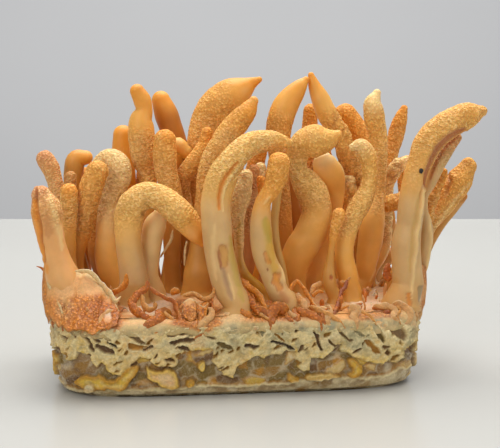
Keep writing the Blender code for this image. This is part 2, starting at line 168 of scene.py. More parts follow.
def levelAt(u, line):
    # the height at u of a line given by its corners
    return np.interp(u, *zip(*line))


def tone(code):
    # a web colour as linear light
    parts = [int(code[n:n + 2], 16) / 255.0 for n in (0, 2, 4)]
    return tuple(p / 12.92 if p <= 0.04045 else ((p + 0.055) / 1.055) ** 2.4 for p in parts)


def palette(**codes):
    return {name: tone(code) for name, code in codes.items()}


class Coat:
    # colours of points, from one palette, laid over each other in turn
    def __init__(self, points, colours, ground):
        self.points, self.palette = points, colours
        self.paint = np.tile(np.array(colours[ground]), (len(points), 1))

    def lay(self, name, share):
        self.paint = blendTo(self.paint, self.palette[name], share)

    def cover(self, paint, share):
        # another coat's colours over this one's by a share at each point
        self.paint = self.paint * (1 - share[:, None]) + paint * share[:, None]

    def dim(self, amount):
        self.paint = self.paint * (1 - amount)[:, None]

    def patch(self, low, high, size, seed, layers=3):
        # wandering patches: layered noise eased from low to high
        return ease(low, high, layered(self.points, size, seed, layers))


# Surfaces

def gridNormals(surface):
    # the cross product of the two grid directions, wrapping round the first; ends borrow their neighbour's
    beside = np.roll(surface, -1, axis=1) - np.roll(surface, 1, axis=1)
    along = np.gradient(surface, axis=0)
    normals = np.cross(beside, along)
    return normals / np.maximum(np.linalg.norm(normals, axis=2, keepdims=True), 1e-12)


def gridFaces(rings, count, start):
    # four-sided faces between neighbouring rings, then three-sided ones from each end ring to its pole
    ring, place = np.meshgrid(np.arange(rings - 1), np.arange(count), indexing="ij")
    a = (ring * count + place).ravel()
    b = (ring * count + (place + 1) % count).ravel()
    here = np.arange(count)
    after = (here + 1) % count
    last, low = (rings - 1) * count, rings * count
    caps = np.concatenate([np.stack([after, here, np.full(count, low)], axis=1),
                           np.stack([last + here, last + after, np.full(count, low + 1)], axis=1)])
    return start + np.stack([a, b, b + count, a + count], axis=1), start + caps


def withPoles(values):
    # the values of a grid in rows, then the means of its two end rings
    return np.concatenate([values.reshape(-1, values.shape[2]), values[[0, -1]].mean(axis=1)])


def inRings(surface, points, colours, **masks):
    # rows of points, colours and masks laid back into the rings of the surface that they came from
    shape = surface.shape
    masks = {key: np.broadcast_to(values, len(points)).reshape(*shape[:2], 1)
             for key, values in masks.items()}
    return points.reshape(shape), colours.reshape(shape), masks


faceCount = []


def skinPiece(name, grids, material, replaced=None):
    # closed skins in one mesh, each from rings of points [ring, place round it, xyz] in millimetres and a
    # pole at each end
    verts, colours, masks, faces, start = [], [], {}, [], 0
    for surface, paint, mask in grids:
        verts.append(withPoles(surface))
        colours.append(withPoles(paint))
        for key, values in mask.items():
            masks.setdefault(key, []).append(withPoles(values))
        faces += gridFaces(*surface.shape[:2], start)
        start += len(verts[-1])
    verts, colours = np.concatenate(verts) * mm, np.clip(np.concatenate(colours), 0, 1)
    corners = np.concatenate([part.ravel() for part in faces])
    sides = np.concatenate([np.full(len(part), part.shape[1]) for part in faces])
    mesh = bpy.data.meshes.new(name)
    mesh.vertices.add(len(verts))
    mesh.vertices.foreach_set("co", verts.ravel())
    mesh.loops.add(len(corners))
    mesh.loops.foreach_set("vertex_index", corners.astype(np.int32))
    mesh.polygons.add(len(sides))
    mesh.polygons.foreach_set("loop_start", (np.cumsum(sides) - sides).astype(np.int32))
    mesh.update(calc_edges=True)
    mesh.shade_smooth()
    skin = mesh.attributes.new("skin", "FLOAT_COLOR", "POINT")
    skin.data.foreach_set("color", np.hstack([colours, np.ones((len(colours), 1))]).ravel())
    for key, values in masks.items():
        mesh.attributes.new(key, "FLOAT", "POINT").data.foreach_set("value", np.concatenate(values).ravel())
    mesh.materials.append(material)
    piece = bpy.data.objects.new(name, mesh)
    whole.collection.objects.link(piece)
    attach(piece, "root")
    if replaced:
        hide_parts(replaced)
    faceCount.append(int((sides - 2).sum()))


def smoothRoute(knots, fine):
    # a curve through the knots: cubic stretches whose slopes come from the knots on either side
    knots = np.array(knots, float)
    along = walked(knots[:, :3])
    steps = np.diff(along)
    slopes = np.gradient(knots, along, axis=0)
    share = np.linspace(0.0, 1.0, fine, endpoint=False)[:, None]
    start = 2 * share ** 3 - 3 * share ** 2 + 1
    leave, arrive = share ** 3 - 2 * share ** 2 + share, share ** 3 - share ** 2
    parts = [start * here + (1 - start) * there + step * (leave * slopes[n] + arrive * slopes[n + 1])
             for n, (step, here, there) in enumerate(zip(steps, knots, knots[1:]))]
    return np.concatenate(parts + [knots[-1:]])


def evenStations(route, gap):
    # points along a route at about equal gaps, ends kept
    along = walked(route[:, :3])
    stations = np.linspace(0.0, along[-1], max(6, int(round(along[-1] / gap)) + 1))
    return np.stack([np.interp(stations, along, column) for column in route.T], axis=1), stations


def crossAxes(centres, hint=(0.0, 1.0, 0.0)):
    # for each station the heading, and two directions across it that stay level with the hint
    heading = np.gradient(centres, axis=0)
    heading /= np.linalg.norm(heading, axis=1, keepdims=True)
    side = np.cross(np.array(hint), heading)
    side /= np.maximum(np.linalg.norm(side, axis=1, keepdims=True), 1e-9)
    return heading, side, np.cross(heading, side)


def fullTurn(count):
    # equal steps of angle round a circle
    return np.linspace(0, 2 * math.pi, count, endpoint=False)


def outwardWays(angle, side, back, squash=1.0):
    # from a line to its skin, for each station and angle: cos * side + squash * sin * back
    along, deep = np.cos(angle)[None, :, None], np.sin(angle)[None, :, None]
    return along * side[:, None] + squash * deep * back[:, None]


print("helpers ready")


# Finishes: one small class for sockets that Python's own operators work on, one for a material

class Wire:
    def __init__(self, maker, socket):
        self.maker, self.socket = maker, socket

    def maths(self, operation, other, flipped=False):
        first, second = (other, self) if flipped else (self, other)
        return self.maker.node("ShaderNodeMath", {"operation": operation}, {0: first, 1: second})

    def __add__(self, other):
        return self.maths("ADD", other)

    def __radd__(self, other):
        return self.maths("ADD", other, True)

    def __sub__(self, other):
        return self.maths("SUBTRACT", other)

    def __rsub__(self, other):
        return self.maths("SUBTRACT", other, True)

    def __mul__(self, other):
        return self.maths("MULTIPLY", other)

    def __rmul__(self, other):
        return self.maths("MULTIPLY", other, True)


class Finish:
    def __init__(self, name, constants):
        self.material = bpy.data.materials.new(name)
        self.material.use_nodes = True
        self.tree = self.material.node_tree
        self.shader = self.tree.nodes["Principled BSDF"]
        for key, value in constants.items():
            self.shader.inputs[key].default_value = value

    def node(self, kind, settings=None, values=None, out=0):
        # the settings first, then each socket's value or link
        node = self.tree.nodes.new(kind)
        for key, value in (settings or {}).items():
            setattr(node, key, value)
        for key, value in (values or {}).items():
            self.plug(node.inputs[key], value)
        return Wire(self, node.outputs[out])

    def plug(self, socket, value):
        if isinstance(value, Wire):
            self.tree.links.new(value.socket, socket)
        else:
            socket.default_value = value

    def noise(self, place, scale, detail=3.0, rough=0.55):
        values = {"Vector": place, "Scale": scale, "Detail": detail, "Roughness": rough}
        return self.node("ShaderNodeTexNoise", {}, values)

    def pimples(self, place, scale, low, high):
        # 1 at the middle of each cell, 0 beyond the high distance
        cells = self.node("ShaderNodeTexVoronoi", {"feature": "SMOOTH_F1"}, {"Vector": place, "Scale": scale})
        return 1 - self.limits(cells, low, high)

    def vector(self, operation, *values):
        return self.node("ShaderNodeVectorMath", {"operation": operation}, dict(enumerate(values)))

    def scaled(self, colour, amount):
        return self.node("ShaderNodeVectorMath", {"operation": "SCALE"}, {0: colour, "Scale": amount})

    def tinted(self, blend, share, first, second):
        settings = {"data_type": "RGBA", "blend_type": blend}
        return self.node("ShaderNodeMix", settings, {0: share, 6: first, 7: second}, 2)

    def limits(self, value, low, high, toLow=0.0, toHigh=1.0):
        return self.node("ShaderNodeMapRange", {"interpolation_type": "SMOOTHSTEP"},
                         {0: value, 1: low, 2: high, 3: toLow, 4: toHigh})

    def mask(self, name):
        return self.node("ShaderNodeAttribute", {"attribute_name": name}, {}, 2)

    def skinColour(self):
        return self.node("ShaderNodeAttribute", {"attribute_name": "skin"}, {}, 0)

    def place(self):
        return self.node("ShaderNodeTexCoord", {}, {}, 3)

    def bump(self, height, strength, distance):
        return self.node("ShaderNodeBump", {}, {"Strength": strength, "Distance": distance, "Height": height})

    def finish(self, colour, roughness, normal):
        for key, value in (("Base Color", colour), ("Roughness", roughness), ("Normal", normal)):
            self.plug(self.shader.inputs[key], value)
        return self.material


flesh = {"pimple": 1500.0, "bend": 500.0, "furrow": 900.0, "grit": 2600.0, "mottle": 260.0, "depth": 0.00036}


def fleshMaterial():
    # the skin's own colour, with a painted highlight on the pimples and painted shade between them where the
    # skin is granular; pale ridges of painted highlight that lie across the club where it is folded; slow
    # mottling on the smooth stems
    f = Finish("clubFlesh", {"Subsurface Weight": 0.22, "Subsurface Radius": (1.0, 0.42, 0.14),
                             "Subsurface Scale": 0.0022, "Specular IOR Level": 0.38})
    place, rough, fold = f.place(), f.mask("rough"), f.mask("fold")
    bend = f.node("ShaderNodeTexNoise", {}, {"Vector": place, "Scale": flesh["bend"]}, 1)
    bent = f.vector("MULTIPLY_ADD", bend, (0.0008, 0.0008, 0.0012), place)
    lying = f.vector("MULTIPLY", bent, (0.75, 0.75, 1.6))
    wrinkles = 1 - f.limits((f.noise(lying, flesh["furrow"], 1.0) - 0.5).maths("ABSOLUTE", 0.0), 0.0, 0.13)
    pimples = f.pimples(bent, flesh["pimple"], 0.05, 0.62)
    grit = f.noise(place, flesh["grit"], 2.0)
    mottle = f.noise(place, flesh["mottle"], 4.0)
    relief = 0.55 * wrinkles * fold + pimples * (0.8 - 0.3 * fold) + grit * 0.25
    # painted highlight and painted shade: the granular skin is lighter where its relief is high and darker
    # where it is low
    shade = 1 + rough * (f.limits(relief, 0.15, 0.95, 0.90, 1.20) - 1)
    colour = f.scaled(f.skinColour(), shade * f.limits(mottle, 0.25, 0.75, 0.95, 1.05))
    # painted shade: the hollows of the relief are darkened towards deep orange; painted highlight: the
    # highest relief is mixed towards pale yellow
    hollows = rough * f.limits(relief, 0.1, 0.65, 0.5, 0.0)
    shadedHollows = f.tinted("MULTIPLY", hollows, colour, (0.95, 0.74, 0.46, 1.0))
    ridges = rough * (0.35 + 0.65 * fold) * f.limits(relief, 0.6, 1.05, 0.0, 0.42)
    pale = f.tinted("MIX", ridges, shadedHollows, (1.0, 0.74, 0.36, 1.0))
    height = rough * relief + (1 - rough) * grit * 0.10
    return f.finish(pale, f.limits(rough, 0.0, 1.0, 0.48, 0.66), f.bump(height, 1.0, flesh["depth"]))


fleshSkin = fleshMaterial()


# Clubs: the fruiting bodies

tones = palette(
    cream="D0A66C", straw="C89A50", tan="C88E40", brown="BC7A30", rust="A85A22", head="E8A84C", gold="EDB45A",
    deep="E99E38", tip="E9942A", pink="DA9A66", rose="CC8C50", light="F4D08E", slit="D8842A", burnt="9A5020",
    peach="E4A866", yellow="CE9C2E", moss="B79838", mauve="A8805E", grey="A08658", red="AC4A16")

# The tube under each skin, in millimetres: how far its foot stands from the mat's solid, sinks into it and
# flares, how far apart its rings are in each row, how many rings its round tip has, and the fewest and most
# places round it
clubShape = {"gap": 0.3, "matTop": 20.5, "footRise": 1.6, "sink": 1.6, "leaning": ("front_club_10",),
             "leanDrop": 0.6, "flare": 0.5, "widestFlare": 2.5, "flareRise": 1.7,
             "rowStep": {"front": 0.40, "middle": 0.46, "back": 0.60}, "tipRings": 9, "around": (16, 76)}

# Sizes of the noise on the skins, in millimetres
clubGrain = {"wander": 4.0, "pimples": 0.95, "knobs": 1.75, "folds": 1.9, "swell": 6.5, "fine": 1.6,
             "ragged": 1.3}

# Each club's skin: stem, head and tip colours, where the granular skin starts and ends as shares of the
# length, how deep its grain and its wrinkles are in millimetres, and how much thinner it is front to back
skins = {
    "front_club_1": ("peach", "peach", "pink", 0.72, 1.1, 0.05, 0.04, 0.9),
    "front_club_2": ("cream", "gold", "tip", 0.42, 0.9, 0.11, 0.1, 1),
    # front_club_3's pale tone is lighter than its own colour, as painted light on a club that stands in shade
    # under the arch
    "front_club_3": ("light", "light", "light", 1.2, 1.4, 0, 0.02, 1),
    "front_club_4": ("cream", "gold", "gold", 0.6, 1.1, 0.13, 0.1, 0.9),
    # front_club_5's pale head is lighter than its own yellow-orange, as painted light on a club that stands
    # in shade
    "front_club_5": ("yellow", "light", "light", 0.45, 1.1, 0.14, 0.1, 1),
    "front_club_6": ("cream", "deep", "deep", 0.74, 1.1, 0.06, 0.05, 1),
    "front_club_7": ("straw", "straw", "straw", 1.2, 1.4, 0, 0.02, 1),
    "front_club_8": ("tan", "deep", "deep", 0.72, 1.1, 0.07, 0.05, 1),
    "front_club_9": ("head", "gold", "light", 0.42, 1.1, 0.08, 0.08, 1),
    "front_club_10": ("cream", "head", "head", 0.6, 1.1, 0.09, 0.07, 0.9),
    "front_club_11": ("cream", "cream", "rose", 0.8, 1.1, 0.05, 0.05, 1),
    "middle_club_1": ("peach", "peach", "pink", 0.5, 1.1, 0.1, 0.08, 1),
    "middle_club_2": ("tan", "rose", "brown", 0.6, 1.1, 0.12, 0.08, 1),
    "middle_club_3": ("tan", "head", "deep", 0.62, 1.1, 0.12, 0.14, 1),
    "middle_club_4": ("tan", "head", "head", 0.5, 1.1, 0.12, 0.16, 1),
    "middle_club_5": ("gold", "light", "light", 0.5, 1.1, 0.12, 0.1, 1),
    "middle_club_6": ("tan", "head", "deep", 0.5, 1.1, 0.09, 0.06, 1),
    "middle_club_7": ("tan", "head", "deep", 0.45, 1.1, 0.12, 0.08, 1),
    "middle_club_8": ("tan", "head", "deep", 0.42, 0.96, 0.12, 0.12, 1),
    "middle_club_9": ("rose", "rose", "rose", 0.5, 1.1, 0.1, 0.08, 1),
    "middle_club_10": ("deep", "tip", "tip", 0.6, 1.1, 0.05, 0.04, 1),
    "middle_club_11": ("peach", "peach", "light", 0.45, 1.1, 0.14, 0.14, 1),
    "middle_club_12": ("head", "gold", "gold", 0.46, 0.97, 0.12, 0.1, 1),
    "middle_club_13": ("gold", "gold", "light", 1.2, 1.4, 0, 0.03, 0.55),
    "middle_club_14": ("head", "gold", "light", 0.35, 1.1, 0.14, 0.1, 1),
    "middle_club_15": ("gold", "gold", "light", 0.45, 0.95, 0.1, 0.09, 1),
    "middle_club_16": ("tan", "gold", "gold", 0.4, 1.1, 0.16, 0.1, 1),
    "middle_club_17": ("tan", "deep", "deep", 0.45, 1.1, 0.14, 0.08, 1),
    "middle_club_18": ("tan", "head", "head", 0.3, 1.1, 0.12, 0.18, 1),
    "middle_club_19": ("tan", "brown", "brown", 1.2, 1.4, 0, 0.05, 1),
    "back_club_2": ("tan", "deep", "deep", 1.2, 1.4, 0, 0.03, 1),
    "back_club_4": ("deep", "deep", "deep", 1.2, 1.4, 0, 0.03, 1),
    "back_club_8": ("brown", "deep", "deep", 1.2, 1.4, 0, 0.03, 1),
    "back_club_5": ("brown", "head", "deep", 0.5, 0.8, 0.09, 0.07, 1),
    "back_club_7": ("gold", "gold", "gold", 1.2, 1.4, 0, 0.03, 1),
    "back_club_9": ("tan", "head", "deep", 0.38, 0.86, 0.17, 0.16, 1),
    "back_club_13": ("tan", "head", "deep", 0.35, 0.8, 0.13, 0.1, 1),
    "back_club_14": ("brown", "brown", "brown", 1.2, 1.4, 0, 0.03, 1),
    "back_club_17": ("tan", "gold", "deep", 0.3, 0.82, 0.12, 0.1, 1),
    "back_club_20": ("gold", "light", "light", 0.35, 1.1, 0.1, 0.08, 1),
}

# The skin of every club that isn't listed above
rowSkin = ("brown", "deep", "deep", 0.48, 1.05, 0.1, 0.08, 1)

# How ropy a club's granular skin is: coarse knobs, with a painted highlight on their tops and burnt brown
# painted shade in the furrows between them
ropes = {"middle_club_14": 1, "middle_club_16": 1, "middle_club_17": 0.8, "middle_club_18": 0.35,
         "back_club_17": 0.8, "back_club_20": 1, "back_club_16": 0.8, "back_club_21": 0.35,
         "middle_club_8": 0.3}

# Marks on the side that faces the eye, on the pane: a line, half width, height (below nought is a groove),
# colour, strength of the colour, and 1 where the line tapers to its ends. The pale light lines along raised
# ridges are painted highlights; the darker colours laid in grooves are partly the grooves' own colour and
# partly painted shade.
marks = {
    "front_club_1": [
        ([(-53.4, 9), (-53.5, 4.75), (-52.6, -0.25), (-52, -5.25), (-51, -9.5)], 0.45, -0.75, "rust", 0.75,
          1),
        ([(-54, 6), (-53.7, -0.25), (-53, -5.25), (-52, -9), (-50.5, -12)], 0.9, 0, "tip", 0.75, 1),
        ([(-50.8, 8.5), (-48.9, 2.25), (-47.6, -2.5), (-46.9, -6.5)], 0.7, 0.35, "light", 0.65, 1),
        ([(-51, 2), (-50.2, -3)], 1.4, -0.25, "rose", 0.7, 1)],
    "front_club_2": [
        ([(-26.6, 2.6), (-25.4, 3.1)], 0.5, -0.5, "brown", 0.6, 0),
        ([(-22.5, -17), (-31.5, -17)], 1.6, 0, "tan", 0.5, 0)],
    "front_club_4": [
        ([(-2.75, 15.75), (-4.25, 14), (-6, 11.75), (-7.25, 9.5), (-7.75, 6.75), (-7.75, 3.5)], 0.5, -0.75,
          "slit", 1, 1),
        ([(-1.9, 15.2), (-3.4, 13.3), (-5.1, 11.1), (-6.4, 8.9), (-6.9, 6.3), (-6.9, 3)], 0.28, 0.3, "light",
          0.7, 1),
        ([(-6.9, -6.2), (-6.2, -8.2), (-6.5, -9.9)], 0.95, -0.3, "tan", 0.75, 0),
        ([(-7.9, -6.4), (-7.6, -9), (-7.2, -11.2)], 0.3, -0.45, "burnt", 0.8, 1),
        ([(-6.9, -10.8), (-5.9, -15), (-4.6, -19)], 0.7, -0.4, "mauve", 0.7, 1),
        ([(-5.4, -12.5), (-4.7, -15.5), (-3.9, -18.5)], 0.35, 0.15, "light", 0.5, 1),
        ([(-8.9, 0), (-9.4, -7), (-8.4, -14)], 0.6, 0, "light", 0.35, 1),
        ([(-5, -3), (-4.4, -9), (-2.9, -16), (-1.6, -19.5)], 0.8, 0.1, "moss", 0.6, 1)],
    "front_club_5": [
        ([(-2.6, 1), (-2.9, -6), (-2.2, -11)], 0.5, 0, "yellow", 0.7, 1)],
    "front_club_6": [
        ([(4.2, 1), (4.8, -4), (5.6, -9.5), (7, -14.5)], 1.05, 0.1, "yellow", 0.75, 1),
        ([(3.6, 1.4), (4.2, -1.8), (4.7, -4.6)], 0.9, -0.05, "moss", 0.75, 1),
        ([(4, -7.4), (4.3, -8.6), (4.9, -9.6)], 0.5, -0.25, "slit", 0.6, 0),
        ([(6.6, -12.9), (6.4, -14.6), (7.4, -15.9)], 0.85, -0.35, "slit", 0.7, 0),
        ([(7.4, -9.8), (8, -12.2), (8.7, -14.5)], 0.3, 0.25, "light", 0.7, 1),
        ([(8, -17), (9.4, -19.6)], 1.3, 0.12, "red", 0.4, 1),
        ([(4.3, -11.3), (4.8, -11.7)], 0.16, -0.1, "burnt", 0.9, 0),
        ([(2, 5.5), (3.1, 6.9), (3.2, 8.2)], 0.3, -0.4, "deep", 0.6, 1),
        ([(3.4, 4.9), (4.4, 6.3), (5.1, 6.9)], 0.3, 0.3, "light", 0.5, 1)],
    "front_club_8": [
        ([(20.2, -13.3), (20.3, -13.5)], 0.4, -0.2, "red", 0.8, 0)],
    "front_club_10": [
        ([(53.75, 24), (50, 21.6), (47.5, 19), (45.75, 16), (44.5, 12.25), (43.75, 9)], 1.05, -1, "rust", 0.9,
          1),
        ([(43.9, 12), (42.9, 8), (42.6, 4)], 0.28, -0.5, "slit", 0.7, 1),
        ([(43.5, 9.75), (42.75, 3), (41.5, -4), (41.25, -7.75), (40.6, -14.75), (40.4, -19)], 0.4, 0.5,
          "light", 0.6, 1),
        ([(42.5, 8), (41.5, 1), (40.4, -5), (40, -12)], 0.6, -0.35, "straw", 0.6, 1),
        ([(36, -14), (37.2, -18.5)], 1.3, 0, "tan", 0.35, 1),
        ([(39.8, -17.6), (39.9, -20.2)], 0.5, -0.3, "slit", 0.85, 0),
        ([(42.75, -16), (42.7, -19)], 0.6, -0.3, "grey", 0.85, 0)],
    "front_club_11": [
        ([(44.4, 6.5), (44.9, 0), (45.2, -4), (44, -12)], 0.4, 0.3, "light", 0.6, 1),
        ([(52.6, 22.6), (49.6, 20), (46.8, 16), (45, 11)], 0.5, 0, "rust", 0.7, 1)],
    "middle_club_13": [
        ([(14.2, 16.4), (16.3, 16.2), (18.8, 17.2), (20.3, 18.2), (21.6, 16.4), (22.8, 14.6), (23.8, 12.2)],
          0.32, 0.3, "light", 0.85, 1)],
    "middle_club_15": [
        ([(33.1, 8), (33.3, 0), (32.9, -6.5), (31.6, -11), (29.8, -14.5)], 0.3, 0.25, "light", 0.7, 1)],
    "middle_club_18": [
        ([(55, 10.25), (50, 4.5), (45.75, -1)], 0.35, 0.35, "light", 0.6, 1),
        ([(48.8, 13.8), (50, 10.5), (48.6, 6.5)], 0.5, -0.8, "rust", 0.6, 1)],
    "back_club_5": [
        ([(-29.9, 20), (-28.6, 15.5), (-26.4, 11.5)], 0.3, 0.2, "light", 0.6, 1)],
}

